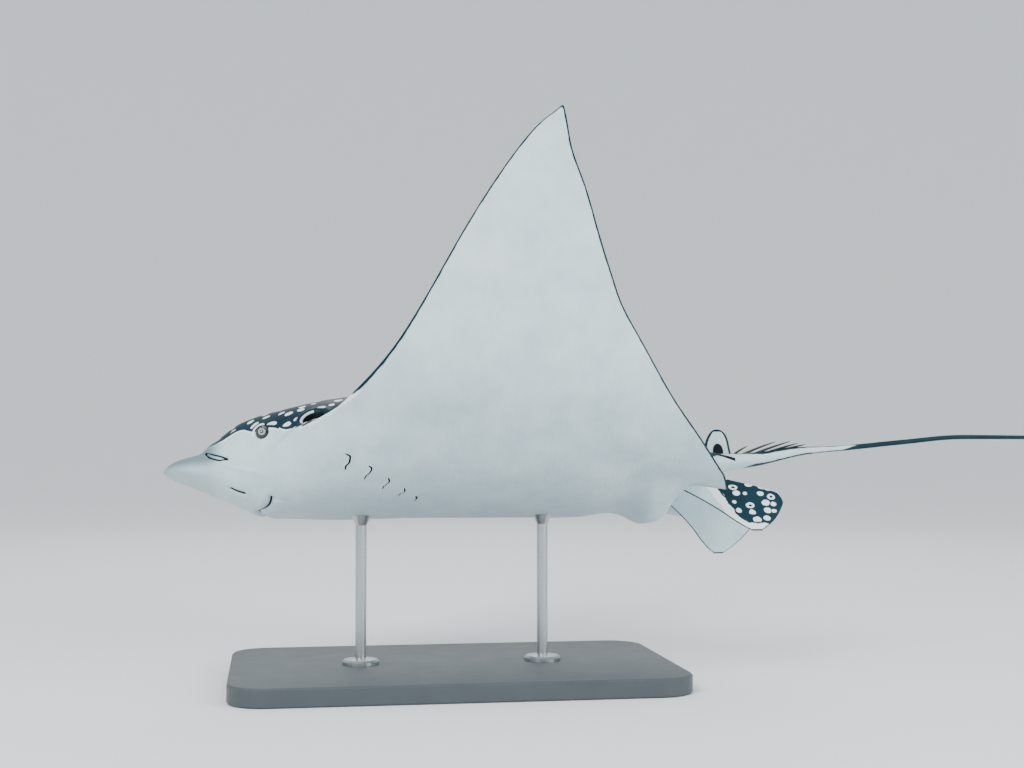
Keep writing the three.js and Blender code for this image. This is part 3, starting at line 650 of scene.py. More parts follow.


# Each fold of the head: its line, how far it stands out or in (mm), its half-width (mm), and half
# the width of the dark line painted in it as shade (mm).
part = np.linspace(-1, 1, 25)
lips = MOUTH_X + MOUTH_CURVE * np.sin(np.abs(part) ** 1.2 * math.pi / 2)
lips = np.stack([lips, MOUTH_HALF * part, 0 * part], -1)
lips[:, 2] = trunk_height(lips[:, 0], lips[:, 1], False)
FOLDS = [(bend(lips), -5, 4.5, 1.8), (bend(lips + (LIP, 0, 0)), 1.4, 8, 0),
         (bend(lips - (LIP, 0, 0)), 2, 8, 0)]
for side in (-1, 1):
    FOLDS += [(mirrored(side, *line), *sizes) for line, *sizes in (
        (CREASE_OVER, -2.6, 2.4, 1.5), (CREASE_UNDER, -2.6, 2.4, 1.5), (LIP_FOLD, -2, 3.5, 0),
        (LIP_SWELL, 2.6, 5, 0), (NOSTRIL, -3.4, 3.6, 2.2), (JAW_FOLD, -1.6, 3, 0))]
FINE_REACH = 8 * MM                # the mesh is made finer this near to a fold, and round each eye
EYE_REACH, HOLE_REACH = 20 * MM, 30 * MM


def refine(form):
    """Halves the spacing of the mesh round the eyes, breathing holes and folds of the head."""
    points = np.array([vert.co for vert in form.verts])
    near = np.zeros(len(points), bool)
    for line, *_ in FOLDS:
        near |= far_from_line(points, line) < FINE_REACH
    for side in (-1, 1):
        for place, reach in ((EYE, EYE_REACH), (SPIRACLE, HOLE_REACH)):
            near |= np.linalg.norm(points - mirrored(side, place)[0], axis=1) < reach
    edges = [edge for edge in form.edges if near[edge.verts[0].index] and near[edge.verts[1].index]]
    bmesh.ops.subdivide_edges(form, edges=edges, cuts=1, use_grid_fill=True)


def carve_head(points, normals):
    """Works the folds, sockets and breathing holes into the smooth head; gives dark marks, painted shade
    in the folds and holes, and white marks.
    """
    move = np.zeros(len(points))
    ink, light = np.full((2, len(points)), -FAR)
    for line, amount, width, dark in FOLDS:
        distance = far_from_line(points, line)
        move += amount * MM * np.exp(-(distance / (width * MM)) ** 2)
        # The dark line is painted shade in the fold's groove.
        if dark:
            ink = np.maximum(ink, dark * MM - distance)
    slant = np.array([[math.cos(SPIRACLE_SLANT), 0, -math.sin(SPIRACLE_SLANT)], [0, 1, 0],
                      [math.sin(SPIRACLE_SLANT), 0, math.cos(SPIRACLE_SLANT)]])
    for side in (-1, 1):
        # Socket: a low swelling round the eye, and the hide drawn in behind the eyeball.
        axis = outward(side, EYE_AHEAD, EYE_UP)
        off = points - mirrored(side, EYE)[0]
        radial = np.linalg.norm(off - np.outer(off @ axis, axis), axis=1)
        near = (np.linalg.norm(off, axis=1) < EYE_HIDE) & (off @ axis > EYE_BACK)
        move += near * SWELL * np.exp(-((radial - SWELL_AT) / SWELL_WIDTH) ** 2)
        inward = near * smooth(SOCKET_EDGE, SOCKET_FLOOR, radial) * SOCKET_DEPTH
        # A white brow in front of the eye and over it.
        over = off @ outward(side, BROW_AHEAD, BROW_UP) / np.maximum(radial, 1e-6)
        brow = np.minimum(radial - BROW_INSIDE, BROW_OUTSIDE - radial)
        brow -= BROW_FADE * smooth(0.5, 0.1, over)
        light = np.where(near, np.maximum(light, brow), light)
        # Breathing hole: a slanting hollow with a raised rim, white in front and above, and painted dark
        # inside as the hole's shade.
        hole = (points - mirrored(side, SPIRACLE)[0]) @ slant
        reach = np.linalg.norm(hole / SPIRACLE_RADII, axis=1)
        move += HOLE_LIP * np.exp(-((reach - HOLE_LIP_AT) / HOLE_LIP_WIDTH) ** 2)
        move -= HOLE_DEPTH * smooth(HOLE_EDGE, HOLE_FLOOR, reach)
        ahead = (hole[:, 2] - hole[:, 0]) / np.maximum(np.linalg.norm(hole, axis=1), 1e-6)
        # The floor of the hollow is painted dark as the shade of the open hole.
        ink = np.maximum(ink, (HOLE_SHADE - reach) * SPIRACLE_RADII[2])
        rim = np.minimum(HOLE_WHITE - reach, 3 * (ahead - 0.35))
        light = np.maximum(light, rim * SPIRACLE_RADII[2])
        points -= inward[:, None] * axis
    points += move[:, None] * normals
    return ink, light


def add_lids():
    """A soft rim of hide round each eyeball, dark above the eye and along its inside."""
    turn, tube = np.meshgrid(np.arange(LID_TURNS) * 2 * math.pi / LID_TURNS,
                             np.arange(LID_SIDES) * 2 * math.pi / LID_SIDES, indexing="ij")
    for side in (-1, 1):
        axis = outward(side, EYE_AHEAD, EYE_UP)
        ahead = np.cross(axis, (0, 0, 1))
        ahead /= np.linalg.norm(ahead)
        up = np.cross(ahead, axis)
        ring = (LID_RING + LID_TUBE * np.cos(tube)) * MM
        placed = (mirrored(side, EYE)[0] + ring[..., None] * (
            np.cos(turn)[..., None] * ahead + np.sin(turn)[..., None] * up)
            + ((LID_RISE + LID_TUBE * np.sin(tube)) * MM)[..., None] * axis)
        above = (np.sin(turn) * LID_DARK - 1) * MM
        inside = (-np.cos(tube) - 0.2) * MM
        grid = hide.add(placed, kind=FOLD, back=above, ink=inside)
        hide.fill(np.pad(grid, ((0, 1), (0, 1)), mode="wrap"))


# Gill slits, (x, y) flat, from the outermost point inward: a soft flap with a slit behind it, painted
# dark as the slit's shade.
GILLS = (
    ((0.1868, 0.1118), (0.1916, 0.11), (0.191, 0.1052), (0.1874, 0.1004), (0.1874, 0.0968)),
    ((0.2108, 0.1028), (0.2138, 0.0998), (0.212, 0.0956), (0.2084, 0.092), (0.2072, 0.0878)),
    ((0.2318, 0.0896), (0.233, 0.0854), (0.2306, 0.0818), (0.2276, 0.0788), (0.227, 0.0746)),
    ((0.2498, 0.0752), (0.2504, 0.0692), (0.2462, 0.0656), (0.2444, 0.0596)),
    ((0.263, 0.0578), (0.2642, 0.0536), (0.2618, 0.047)))
# Section of a flap from front to back: place across (mm), height over the hide (mm), and whether it is
# painted dark as the slit's shade.
FLAP = ((-6.5, -0.6, False), (-4.5, 0.15, False), (-2.4, 0.9, False), (-0.9, 1.25, False),
        (-0.2, 1.15, True), (0.2, 0.4, True), (2.2, 0.4, True), (2.9, -0.6, True), (0, -1.6, False))
FLAP_STEPS = 26
FLAP_SHADE = 0.6 * MM


def belly_place(x, y):
    """Flat place on the underside of trunk or wing."""
    c = np.clip((x - front_edge(y)) / (rear_edge(y) - front_edge(y)), 0, 1)
    wing = height(x, y, c, np.full_like(x, ROOT), False, wing_line)
    return np.stack([x, y, np.where(y < ROOT, trunk_height(x, y, False), wing)], -1)


def add_gills():
    """Lays a closed flap along each gill slit, on the hide of the underside."""
    surface = BVHTree.FromPolygons([tuple(point) for point in hide.points], hide.faces)

    def on_hide(place, rise):
        """The nearest place on the hide, raised a little out of the belly."""
        spot, normal, *_ = surface.find_nearest(Vector(place))
        if normal.z >= 0:
            normal = -normal
        return np.array(spot + normal * rise * MM)

    for side in (-1, 1):
        for slit in GILLS:
            part = np.arange(len(slit))
            along = np.linspace(0, part[-1], FLAP_STEPS)
            x, y = (curve(*zip(part, column))(along) for column in zip(*slit))
            flat = belly_place(x, y)
            flat[:, 1] *= side
            line = bend(flat)
            size = np.sqrt(np.clip(1 - (2 * along / part[-1] - 1) ** 4, 0.02, 1))
            ahead = np.gradient(line, axis=0)
            ahead /= np.linalg.norm(ahead, axis=1, keepdims=True)
            rows, dark = [], []
            for place, run, width in zip(line, ahead, size):
                behind = np.array([1.0, 0, 0]) - run[0] * run
                behind /= np.linalg.norm(behind)
                rows.append([on_hide(place + behind * across * width * MM,
                                     rise * width if rise > 0 else rise)
                             for across, rise, _ in FLAP])
                # Behind its crest the flap is painted dark: painted shade of the slit.
                dark.append([FLAP_SHADE if inked else -FLAP_SHADE for *_, inked in FLAP])
            grid = hide.add(np.array(rows), kind=FOLD, back=-3 * DEEP, ink=np.array(dark))
            hide.fill(np.pad(grid, ((0, 0), (0, 1)), mode="wrap"))
            hide.faces += [grid[0].tolist(), grid[-1].tolist()]


add_lids()
add_gills()
mesh = bpy.data.meshes.new("ray_skin")
mesh.from_pydata([tuple(point) for point in hide.points], [], hide.faces)
for name, column in hide.values.items():
    mesh.attributes.new(name, "FLOAT", "POINT").data.foreach_set("value", np.array(column, np.float32))
form = bmesh.new()
form.from_mesh(mesh)
refine(form)
bmesh.ops.recalc_face_normals(form, faces=form.faces)
form.to_mesh(mesh)
form.free()
count = len(mesh.vertices)
points, normals = np.empty((2, count * 3))
mesh.vertices.foreach_get("co", points)
mesh.vertices.foreach_get("normal", normals)
points, normals = points.reshape(-1, 3), normals.reshape(-1, 3)
values = {name: np.empty(count, np.float32) for name in ("kind", "ink", "light")}
for name, column in values.items():
    mesh.attributes[name].data.foreach_get("value", column)
flesh = values["kind"] < FOLD - 0.5
carved = points[flesh]
ink, values["light"][flesh] = carve_head(carved, normals[flesh])
values["ink"][flesh] = np.maximum(values["ink"][flesh], ink)
points[flesh] = carved
mesh.vertices.foreach_set("co", points.ravel())
for name, column in values.items():
    mesh.attributes[name].data.foreach_set("value", column)
mesh.shade_smooth()


def spots(node, spread, pitch, radius, ringed, where):
    """White spots about the pitch apart on the spread hide, 0.7 to 1.3 of the radius in size.

    A third of them, where ringed, are rings a little larger than the rest."""
    distance = node("ShaderNodeTexVoronoi", {"Vector": spread, "Scale": 1 / pitch, "Randomness": 0.6},
                    voronoi_dimensions="2D")
    chance = node("ShaderNodeSeparateColor", {"Color": distance.node.outputs["Color"]})
    pick = node("ShaderNodeMath", {0: chance.node.outputs[1], 1: 0.66}, operation="GREATER_THAN")
    pick = node("ShaderNodeMath", {0: pick, 1: ringed}, operation="MULTIPLY")
    size = node("ShaderNodeMath", {0: chance, 1: 0.6 * radius, 2: 0.7 * radius}, operation="MULTIPLY_ADD")
    size = node("ShaderNodeMath", {0: pick, 1: 0.4 * radius, 2: size}, operation="MULTIPLY_ADD")
    inside = node("ShaderNodeMath", {0: distance, 1: -pitch, 2: size}, operation="MULTIPLY_ADD")
    core = node("ShaderNodeMath", {0: size, 1: -0.56, 2: inside}, operation="MULTIPLY_ADD")
    solid, hollow = (node("ShaderNodeMapRange", {
        "Value": value, "From Min": -0.5 * MM, "From Max": 0.5 * MM}, interpolation_type="SMOOTHSTEP")
        for value in (inside, core))
    cut = node("ShaderNodeMath", {0: hollow, 1: pick}, operation="MULTIPLY")
    spot = node("ShaderNodeMath", {0: solid, 1: cut}, operation="SUBTRACT", use_clamp=True)
    return node("ShaderNodeMath", {0: spot, 1: where}, operation="MULTIPLY")


def skin_material():
    """Scaleless fish skin, satin when wet: finely grained, with crisp markings that grew in it, and dark
    paint for the shade in its slits, holes and creases.
    """
    material, node = new_material("smooth_fish_skin")
    place = node("ShaderNodeTexCoord", output="Object")
    along, out, kind, back, rim, band, dusk, ink, light = (
        node("ShaderNodeAttribute", output="Fac", attribute_name=name) for name in UNPAINTED)
    on_disc, on_pelvic, on_dorsal = (
        node("ShaderNodeMath", {0: kind, 1: value, 2: 0.5}, operation="COMPARE")
        for value in (DISC, PELVIC, DORSAL))

    # Clouds 60 mm across shade the ground colours; finer ones make the edges of the markings uneven.
    # Sockets 6 and 7 of a Mix node are its two colours.
    cloud = node("ShaderNodeTexNoise", {
        "Vector": place, "Scale": 1 / (60 * MM), "Detail": 5.0, "Roughness": 0.6})
    uneven = node("ShaderNodeTexNoise", {"Vector": place, "Scale": 1 / (14 * MM), "Detail": 2.0})
    soft_cloud = node("ShaderNodeMapRange", {"Value": cloud, "From Min": 0.3, "From Max": 0.7})
    dark_skin, pale_skin = (
        node("ShaderNodeMix", {"Factor": shade, 6: linear(one), 7: linear(other)},
             output=2, data_type="RGBA")
        for shade, one, other in ((cloud, "#08161D", "#1B3D4B"), (soft_cloud, BELLY_SHADE, BELLY_LIGHT)))

    # Spots: small on the head, larger over the disc, with rings among them towards the rear.
    spread = node("ShaderNodeCombineXYZ", {"X": along, "Y": out})
    wobble = node("ShaderNodeTexNoise", {
        "Vector": spread, "Scale": 1 / (16 * MM), "Detail": 2.0}, output="Color")
    wobble = node("ShaderNodeVectorMath", {0: wobble, 1: (0.5, 0.5, 0.5)}, operation="SUBTRACT")
    spread = node("ShaderNodeVectorMath", {0: wobble, 1: (6 * MM, 6 * MM, 0), 2: spread},
                  operation="MULTIPLY_ADD")
    front, rear = (node("ShaderNodeMapRange", {"Value": along, "From Min": low, "From Max": high})
                   for low, high in (HEAD_END, RINGS_START))
    on_head = node("ShaderNodeMath", {0: on_disc, 1: front}, operation="MULTIPLY")
    behind = node("ShaderNodeMath", {0: on_disc, 1: on_head}, operation="SUBTRACT")
    before_tail = node("ShaderNodeMapRange", {
        "Value": along, "From Min": SPOTS_END[0], "From Max": SPOTS_END[1]})
    behind = node("ShaderNodeMath", {0: behind, 1: before_tail}, operation="MULTIPLY")
    narrow = node("ShaderNodeVectorMath", {0: spread, 1: (1, 1.25, 1)}, operation="MULTIPLY")
    small, large, fin = (
        spots(node, hide_map, pitch * MM, radius * MM, ringed, where)
        for hide_map, (pitch, radius), ringed, where in (
            (narrow, HEAD_SPOTS, 0.0, on_head), (spread, DISC_SPOTS, rear, behind),
            (narrow, FIN_SPOTS, 1.0, on_pelvic)))
    white = node("ShaderNodeMath", {0: small, 1: large}, operation="MAXIMUM")
    white = node("ShaderNodeMath", {0: white, 1: fin}, operation="MAXIMUM")

    # No spot crosses a dark margin, or crowds another mark.
    clear = node("ShaderNodeMath", {0: ink, 1: light}, operation="MAXIMUM")
    clear = node("ShaderNodeMapRange", {"Value": clear, "From Min": -3 * MM, "From Max": -5 * MM})
    inland = node("ShaderNodeMapRange", {"Value": back, "From Min": 4.5 * MM, "From Max": 6.5 * MM})
    clear = node("ShaderNodeMath", {0: clear, 1: inland}, operation="MULTIPLY")
    inland = node("ShaderNodeMapRange", {"Value": band, "From Min": 10 * MM, "From Max": 12 * MM})
    clear = node("ShaderNodeMath", {0: clear, 1: inland}, operation="MULTIPLY")
    white = node("ShaderNodeMath", {0: white, 1: clear}, operation="MULTIPLY")

    # A white band runs inside the dark front rim of each pelvic fin.
    inset = node("ShaderNodeMath", {0: uneven, 1: 6 * MM, 2: band}, operation="MULTIPLY_ADD")
    inset = node("ShaderNodeMapRange", {
        "Value": inset, "From Min": 12.4 * MM, "From Max": 11.4 * MM}, interpolation_type="SMOOTHSTEP")
    inset = node("ShaderNodeMath", {0: inset, 1: on_pelvic}, operation="MULTIPLY")
    white = node("ShaderNodeMath", {0: white, 1: inset}, operation="MAXIMUM")
    marked = node("ShaderNodeMix", {"Factor": white, 6: dark_skin, 7: linear(SPOT_WHITE)},
                  output=2, data_type="RGBA")

    # Dark back over pale belly, with a thin white line under the edge along the head.
    edge = node("ShaderNodeMath", {0: uneven, 1: 2.4 * MM, 2: back}, operation="MULTIPLY_ADD")
    dark, brim = (node("ShaderNodeMapRange", {
        "Value": edge, "From Min": low * MM, "From Max": high * MM}, interpolation_type="SMOOTHSTEP")
        for low, high in ((0.5, 1.9), (-3.0, -1.6)))
    brim = node("ShaderNodeMath", {0: brim, 1: on_head}, operation="MULTIPLY")

    # The small fin on the tail is pale inside; it and the pelvic fins have a thin dark rim.
    line = node("ShaderNodeMath", {0: on_dorsal, 1: -2.4 * MM, 2: rim}, operation="MULTIPLY_ADD")
    line = node("ShaderNodeMapRange", {
        "Value": line, "From Min": 2.5 * MM, "From Max": 1.7 * MM}, interpolation_type="SMOOTHSTEP")
    fins = node("ShaderNodeMath", {0: on_pelvic, 1: on_dorsal}, operation="MAXIMUM")
    line = node("ShaderNodeMath", {0: line, 1: fins}, operation="MULTIPLY")
    dusky = node("ShaderNodeMath", {0: dusk, 1: 0.8}, operation="MULTIPLY")
    # The dark layer holds real marks and painted shade in the slits, holes, creases and mouth.
    lit, inked = (node("ShaderNodeMapRange", {
        "Value": mark, "From Min": -0.5 * MM, "From Max": 0.5 * MM}, interpolation_type="SMOOTHSTEP")
        for mark in (light, ink))

    # Each layer covers the ones before it.
    colour = pale_skin
    for covered, layer in (
            (brim, linear(SPOT_WHITE)), (dark, marked), (on_dorsal, pale_skin), (line, dark_skin),
            (dusky, linear("#46636D")), (lit, linear(SPOT_WHITE)), (inked, linear("#0A161C"))):
        colour = node("ShaderNodeMix", {"Factor": covered, 6: colour, 7: layer},
                      output=2, data_type="RGBA")

    # Fine grain, soft creases, and the faint ribs of the fin rays under the skin.
    grain = node("ShaderNodeTexNoise", {"Vector": place, "Scale": 1 / (2.2 * MM), "Detail": 3.0})
    crease = node("ShaderNodeTexNoise", {"Vector": place, "Scale": 1 / (18 * MM), "Detail": 3.0})
    rays = node("ShaderNodeMath", {0: along, 1: 2 * math.pi / (9 * MM)}, operation="MULTIPLY")
    rays = node("ShaderNodeMath", {0: rays}, operation="SINE")
    inner = node("ShaderNodeMapRange", {"Value": rim, "From Min": 0.01, "From Max": 0.09})
    beyond = node("ShaderNodeMath", {0: rim, 1: 0.9}, operation="LESS_THAN")
    inner = node("ShaderNodeMath", {0: inner, 1: beyond}, operation="MULTIPLY")
    rays = node("ShaderNodeMath", {0: rays, 1: inner}, operation="MULTIPLY")
    relief = node("ShaderNodeMath", {0: grain, 1: 0.3, 2: crease}, operation="MULTIPLY_ADD")
    relief = node("ShaderNodeMath", {0: rays, 1: 0.12, 2: relief}, operation="MULTIPLY_ADD")
    bump = node("ShaderNodeBump", {"Height": relief, "Distance": 1.4 * MM, "Strength": 0.5})
    rough = node("ShaderNodeMapRange", {"Value": cloud, "From Min": 0.25, "From Max": 0.75,
                                        "To Min": 0.34, "To Max": 0.46})
    skin = node("ShaderNodeBsdfPrincipled", {
        "Base Color": colour, "Roughness": rough, "Normal": bump, "IOR": 1.28,
        "Specular IOR Level": 0.2, "Coat Weight": 0.02, "Coat Roughness": 0.3})
    node("ShaderNodeOutputMaterial", {"Surface": skin})
    return material


skin = add_piece("ray_skin", mesh, skin_material())
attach(skin, "root")
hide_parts("rostral_lobe", "head", "trunk", "tail_base", "wing_left", "wing_right",
            "pelvic_fin_left", "pelvic_fin_right", "dorsal_fin", "tail_1", "tail_2", "tail_3", "tail_4")


# ---------------------------------------------------------------------------------------------
# Eyes: glassy balls set deep in the sockets, inside the soft rims of hide. The pupil is small and
# dark, the iris a pale ring, and the rest of the ball dark.
# ---------------------------------------------------------------------------------------------
CORNEA, CORNEA_WIDTH = 0.04, 0.55            # how much fuller the ball is in front, and how wide (rad)
PUPIL_EDGE, IRIS_EDGE = (2.6, 3.4), (4.9, 6.7)     # where each starts and ends to fade (mm)


def eye_material():
    """Wet cornea over a pale iris: a glossy, clear-coated ball."""
    material, node = new_material("wet_eye")
    distance = node("ShaderNodeAttribute", output="Fac", attribute_name="from_pupil")
    place = node("ShaderNodeTexCoord", output="Object")
    fibre = node("ShaderNodeTexNoise", {"Vector": place, "Scale": 1 / (0.7 * MM), "Detail": 2.0})
    iris = node("ShaderNodeMix", {"Factor": fibre, 6: linear("#6E8580"), 7: linear("#C4CFC2")},
                output=2, data_type="RGBA")
    around, beyond = (node("ShaderNodeMapRange", {
        "Value": distance, "From Min": low * MM, "From Max": high * MM}, interpolation_type="SMOOTHSTEP")
        for low, high in (PUPIL_EDGE, IRIS_EDGE))
    colour = linear("#04080A")
    for covered, layer in ((around, iris), (beyond, linear("#0A1419"))):
        colour = node("ShaderNodeMix", {"Factor": covered, 6: colour, 7: layer},
                      output=2, data_type="RGBA")
    ball = node("ShaderNodeBsdfPrincipled", {
        "Base Color": colour, "Roughness": 0.12, "IOR": 1.38, "Coat Weight": 1.0, "Coat Roughness": 0.03})
    node("ShaderNodeOutputMaterial", {"Surface": ball})
    return material


def closed_mesh(name, points, faces):
    """A smooth closed mesh, all of whose faces look outward."""
    mesh = bpy.data.meshes.new(name)
    mesh.from_pydata([tuple(point) for point in points], [], faces)
    form = bmesh.new()
    form.from_mesh(mesh)
    bmesh.ops.recalc_face_normals(form, faces=form.faces)
    form.to_mesh(mesh)
    form.free()
    mesh.shade_smooth()
    return mesh


def eyeball(side):
    """A closed ball of rings round its axis, a little fuller at the cornea."""
    axis = outward(side, EYE_AHEAD, EYE_UP)
    ahead = np.cross(axis, (0, 0, 1))
    ahead /= np.linalg.norm(ahead)
    up = np.cross(ahead, axis)
    rings, turns = 36, 48
    polar, turn = np.meshgrid(
        np.linspace(0, math.pi, rings + 1)[1:-1], np.arange(turns) * 2 * math.pi / turns, indexing="ij")
    bulge = EYE_RADIUS * (1 + CORNEA * np.exp(-(polar / CORNEA_WIDTH) ** 2))
    offset = (np.cos(polar)[..., None] * axis + np.sin(polar)[..., None] * (
        np.cos(turn)[..., None] * ahead + np.sin(turn)[..., None] * up)) * bulge[..., None]
    middle = mirrored(side, EYE)[0]
    poles = [middle + axis * EYE_RADIUS * (1 + CORNEA), middle - axis * EYE_RADIUS]
    points = np.concatenate([(middle + offset).reshape(-1, 3), poles])
    grid = np.arange((rings - 1) * turns).reshape(rings - 1, turns)
    wrapped = np.pad(grid, ((0, 0), (0, 1)), mode="wrap")
    faces = quads(wrapped)
    front, back = grid.size, grid.size + 1
    faces += [[front, wrapped[0, i + 1], wrapped[0, i]] for i in range(turns)]
    faces += [[back, wrapped[-1, i], wrapped[-1, i + 1]] for i in range(turns)]
    mesh = closed_mesh("eyeball", points, faces)
    distance = np.concatenate([(EYE_RADIUS * polar).ravel(), [0, math.pi * EYE_RADIUS]])
    mesh.attributes.new("from_pupil", "FLOAT", "POINT").data.foreach_set(
        "value", distance.astype(np.float32))
    return mesh


wet_eye = eye_material()
for side, name in ((-1, "left"), (1, "right")):
    eye = add_piece(f"eyeball_{name}", eyeball(side), wet_eye)
    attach(eye, "root")
    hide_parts(f"eye_{name}")

# ---------------------------------------------------------------------------------------------
# Stings: flat, hard blades of horny dentine in a row behind the small tail fin, lying back over the
# tail. Both edges carry small barbs that point towards the root.
# ---------------------------------------------------------------------------------------------
# Each sting on the middle line, flat: root, tip, and height of the tip.
STINGS = ((0.63, 0.65, 0.077), (0.641, 0.6845, 0.0824), (0.656, 0.7015, 0.0824),
          (0.671, 0.711, 0.0806), (0.684, 0.719, 0.0785))
STING_HALF_WIDTH, STING_HALF_DEPTH, STING_SPLAY, STING_SUNK = 0.0029, 0.0021, 0.0012, 0.002
STING_BOW = 0.16
BARB_LENGTH, BARB_WIDTH, BARB_SPACING = 2.6 * MM, 0.75 * MM, 2.9 * MM
tail_top = curve((0.62, 0.0668), (TAIL_START, 0.0699), (0.712, 0.0755), (0.75, 0.0757))


def sting_middle(sting, number, part):
    """Middle line of a blade, flat: it leaves the tail low and bows up a little."""
    root, tip, tip_height = sting
    low = tail_top(root) - STING_SUNK
    x = root + (tip - root) * part
    z = low + (tip_height - low) * (part + STING_BOW * part * (1 - part))
    splay = STING_SPLAY * (1 if number % 2 else -1) * part
    return np.stack([x, splay, z + 0 * x], -1)


def sting_taper(part):
    return np.sqrt(np.clip(1 - part ** 3, 0, 1)) * (1 - 0.35 * part)


def sting_blade(sting, number):
    """A closed blade with a shallow groove along each face."""
    steps, around = 30, 12
    part = np.linspace(0, 0.995, steps)
    turn = np.arange(around) * 2 * math.pi / around
    middle = sting_middle(sting, number, part)[:, None, :]
    groove = 1 - 0.3 * np.abs(np.sin(turn)) ** 6
    section = np.stack([0 * turn, STING_HALF_WIDTH * np.cos(turn),
                        STING_HALF_DEPTH * np.sin(turn) * groove], -1)
    placed = bend(middle + section[None] * sting_taper(part)[:, None, None])
    grid = np.arange(steps * around).reshape(steps, around)
    faces = quads(np.pad(grid, ((0, 0), (0, 1)), mode="wrap"))
    faces += [grid[0].tolist(), grid[-1].tolist()]
    return closed_mesh(f"sting_blade_{number}", placed.reshape(-1, 3), faces)


def horn_material():
    """Horny dentine: hard and slightly glossy, dark with lengthwise streaks."""
    material, node = new_material("horny_dentine")
    place = node("ShaderNodeTexCoord", output="Object")
    lengthwise = node("ShaderNodeMapping", {"Vector": place, "Scale": (0.12, 1, 1)})
    streak = node("ShaderNodeTexNoise", {"Vector": lengthwise, "Scale": 1 / (1.2 * MM), "Detail": 3.0})
    colour = node("ShaderNodeMix", {"Factor": streak, 6: linear("#070F14"), 7: linear("#1C2C34")},
                  output=2, data_type="RGBA")
    bump = node("ShaderNodeBump", {"Height": streak, "Distance": 0.3 * MM, "Strength": 0.5})
    rough = node("ShaderNodeMapRange", {"Value": streak, "To Min": 0.28, "To Max": 0.45})
    horn = node("ShaderNodeBsdfPrincipled", {"Base Color": colour, "Roughness": rough, "Normal": bump,
                                             "IOR": 1.54})
    node("ShaderNodeOutputMaterial", {"Surface": horn})
    return material


def barb_tree(material):
    """Geometry Nodes: small cones along every line, lying back along it."""
    tree = bpy.data.node_groups.new("barbs_along_an_edge", "GeometryNodeTree")
    face = tree.interface
    face.new_socket("Edge lines", in_out="INPUT", socket_type="NodeSocketGeometry")
    for name in ("Spacing", "Barb length", "Barb width"):
        face.new_socket(name, in_out="INPUT", socket_type="NodeSocketFloat")
    face.new_socket("Barbs", in_out="OUTPUT", socket_type="NodeSocketGeometry")
    node = functools.partial(add_node, tree)
    lines = node("NodeGroupInput")
    spacing, length, width = (lines.node.outputs[i] for i in (1, 2, 3))
    curves = node("GeometryNodeMeshToCurve", {"Mesh": lines})
    dotted = node("GeometryNodeCurveToPoints", {"Curve": curves, "Length": spacing}, mode="LENGTH")
    rotation = node("FunctionNodeAlignRotationToVector", {
        "Vector": dotted.node.outputs["Tangent"]}, axis="Z")
    barb = node("GeometryNodeMeshCone", {
        "Vertices": 6, "Radius Top": 0.0, "Radius Bottom": width, "Depth": length})
    placed = node("GeometryNodeInstanceOnPoints", {
        "Points": dotted, "Instance": barb, "Rotation": rotation})
    real = node("GeometryNodeRealizeInstances", {"Geometry": placed})
    done = node("GeometryNodeSetMaterial", {"Geometry": real, "Material": material})
    node("NodeGroupOutput", {0: done})
    return tree


def barb_lines():
    """Edge lines of all the blades, run from tip to root, a little outside the blade's own edge."""
    points, edges = [], []
    for number, sting in enumerate(STINGS):
        for side in (-1, 1):
            part = np.linspace(0.94, 0.3, 24)
            line = sting_middle(sting, number, part)
            line[:, 1] += side * STING_HALF_WIDTH * sting_taper(part)
            first = len(points)
            points += [tuple(place) for place in bend(line)]
            edges += [(i, i + 1) for i in range(first, len(points) - 1)]
    mesh = bpy.data.meshes.new("barb_lines")
    mesh.from_pydata(points, edges, [])
    return mesh


horn = horn_material()
for number, sting in enumerate(STINGS):
    blade = add_piece(f"sting_blade_{number + 1}", sting_blade(sting, number), horn)
    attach(blade, "root")
    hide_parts(f"sting_{number + 1}")
carrier = add_piece("barb_carrier", barb_lines(), None)
tree = barb_tree(horn)
modifier = carrier.modifiers.new("barbs", "NODES")
modifier.node_group = tree
sockets = {item.name: item.identifier for item in tree.interface.items_tree if item.in_out == "INPUT"}
for name, value in (("Spacing", BARB_SPACING), ("Barb length", BARB_LENGTH), ("Barb width", BARB_WIDTH)):
    modifier[sockets[name]] = value
bpy.context.view_layer.update()
grown = bpy.data.meshes.new_from_object(carrier.evaluated_get(bpy.context.evaluated_depsgraph_get()))
bpy.data.objects.remove(carrier)
barbs = add_piece("sting_barbs", grown, None)
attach(barbs, "root")

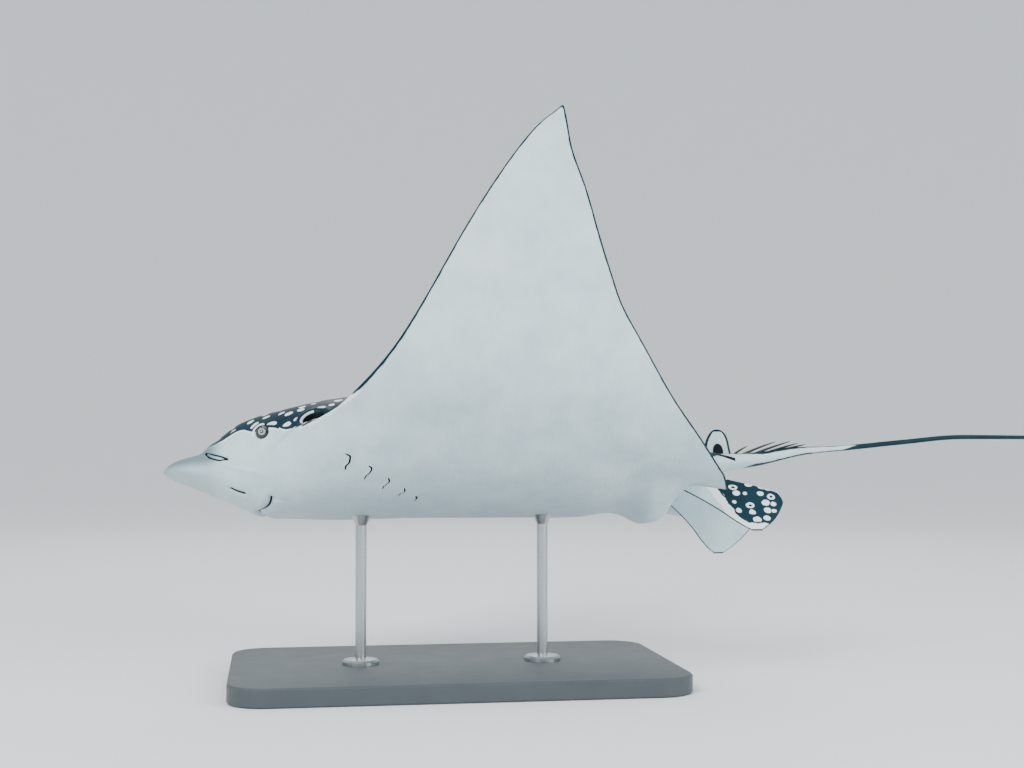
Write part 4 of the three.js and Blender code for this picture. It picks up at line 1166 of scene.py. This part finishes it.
# ---------------------------------------------------------------------------------------------
# Stand: a flat steel base, powder-coated, and two turned rods of brushed stainless steel whose pads
# carry the belly. Their shapes are the frame's own.
# ---------------------------------------------------------------------------------------------


def powder_coat():
    """Powder-coated steel: an even satin film with a fine orange-peel surface."""
    material, node = new_material("powder_coated_steel")
    place = node("ShaderNodeTexCoord", output="Object")
    peel = node("ShaderNodeTexVoronoi", {"Vector": place, "Scale": 1 / (1.6 * MM)}, feature="SMOOTH_F1")
    speck = node("ShaderNodeTexNoise", {"Vector": place, "Scale": 1 / (40 * MM), "Detail": 6.0})
    colour = node("ShaderNodeMix", {"Factor": speck, 6: linear("#3B4246"), 7: linear("#474F54")},
                  output=2, data_type="RGBA")
    rough = node("ShaderNodeMapRange", {"Value": speck, "To Min": 0.42, "To Max": 0.58})
    bump = node("ShaderNodeBump", {"Height": peel, "Distance": 0.12 * MM, "Strength": 0.4})
    coat = node("ShaderNodeBsdfPrincipled", {"Base Color": colour, "Roughness": rough, "Normal": bump})
    node("ShaderNodeOutputMaterial", {"Surface": coat})
    return material


def brushed_steel():
    """Stainless steel brushed round the rod: fine rings that stretch the highlights."""
    material, node = new_material("brushed_stainless_steel")
    place = node("ShaderNodeTexCoord", output="Object")
    rings = node("ShaderNodeMapping", {"Vector": place, "Scale": (0.04, 0.04, 1)})
    brush = node("ShaderNodeTexNoise", {"Vector": rings, "Scale": 1 / (0.5 * MM), "Detail": 4.0})
    colour = node("ShaderNodeMix", {"Factor": brush, 6: linear("#9A9FA2"), 7: linear("#C9CDCF")},
                  output=2, data_type="RGBA")
    rough = node("ShaderNodeMapRange", {"Value": brush, "To Min": 0.24, "To Max": 0.42})
    bump = node("ShaderNodeBump", {"Height": brush, "Distance": 0.05 * MM, "Strength": 0.4})
    steel = node("ShaderNodeBsdfPrincipled", {
        "Base Color": colour, "Metallic": 1.0, "Roughness": rough, "Normal": bump})
    node("ShaderNodeOutputMaterial", {"Surface": steel})
    return material


coat, steel = powder_coat(), brushed_steel()
for name, finish in (("stand_base", coat), ("stand_rod_front", steel), ("stand_rod_rear", steel)):
    bpy.data.objects[name].material_slots[0].material = finish
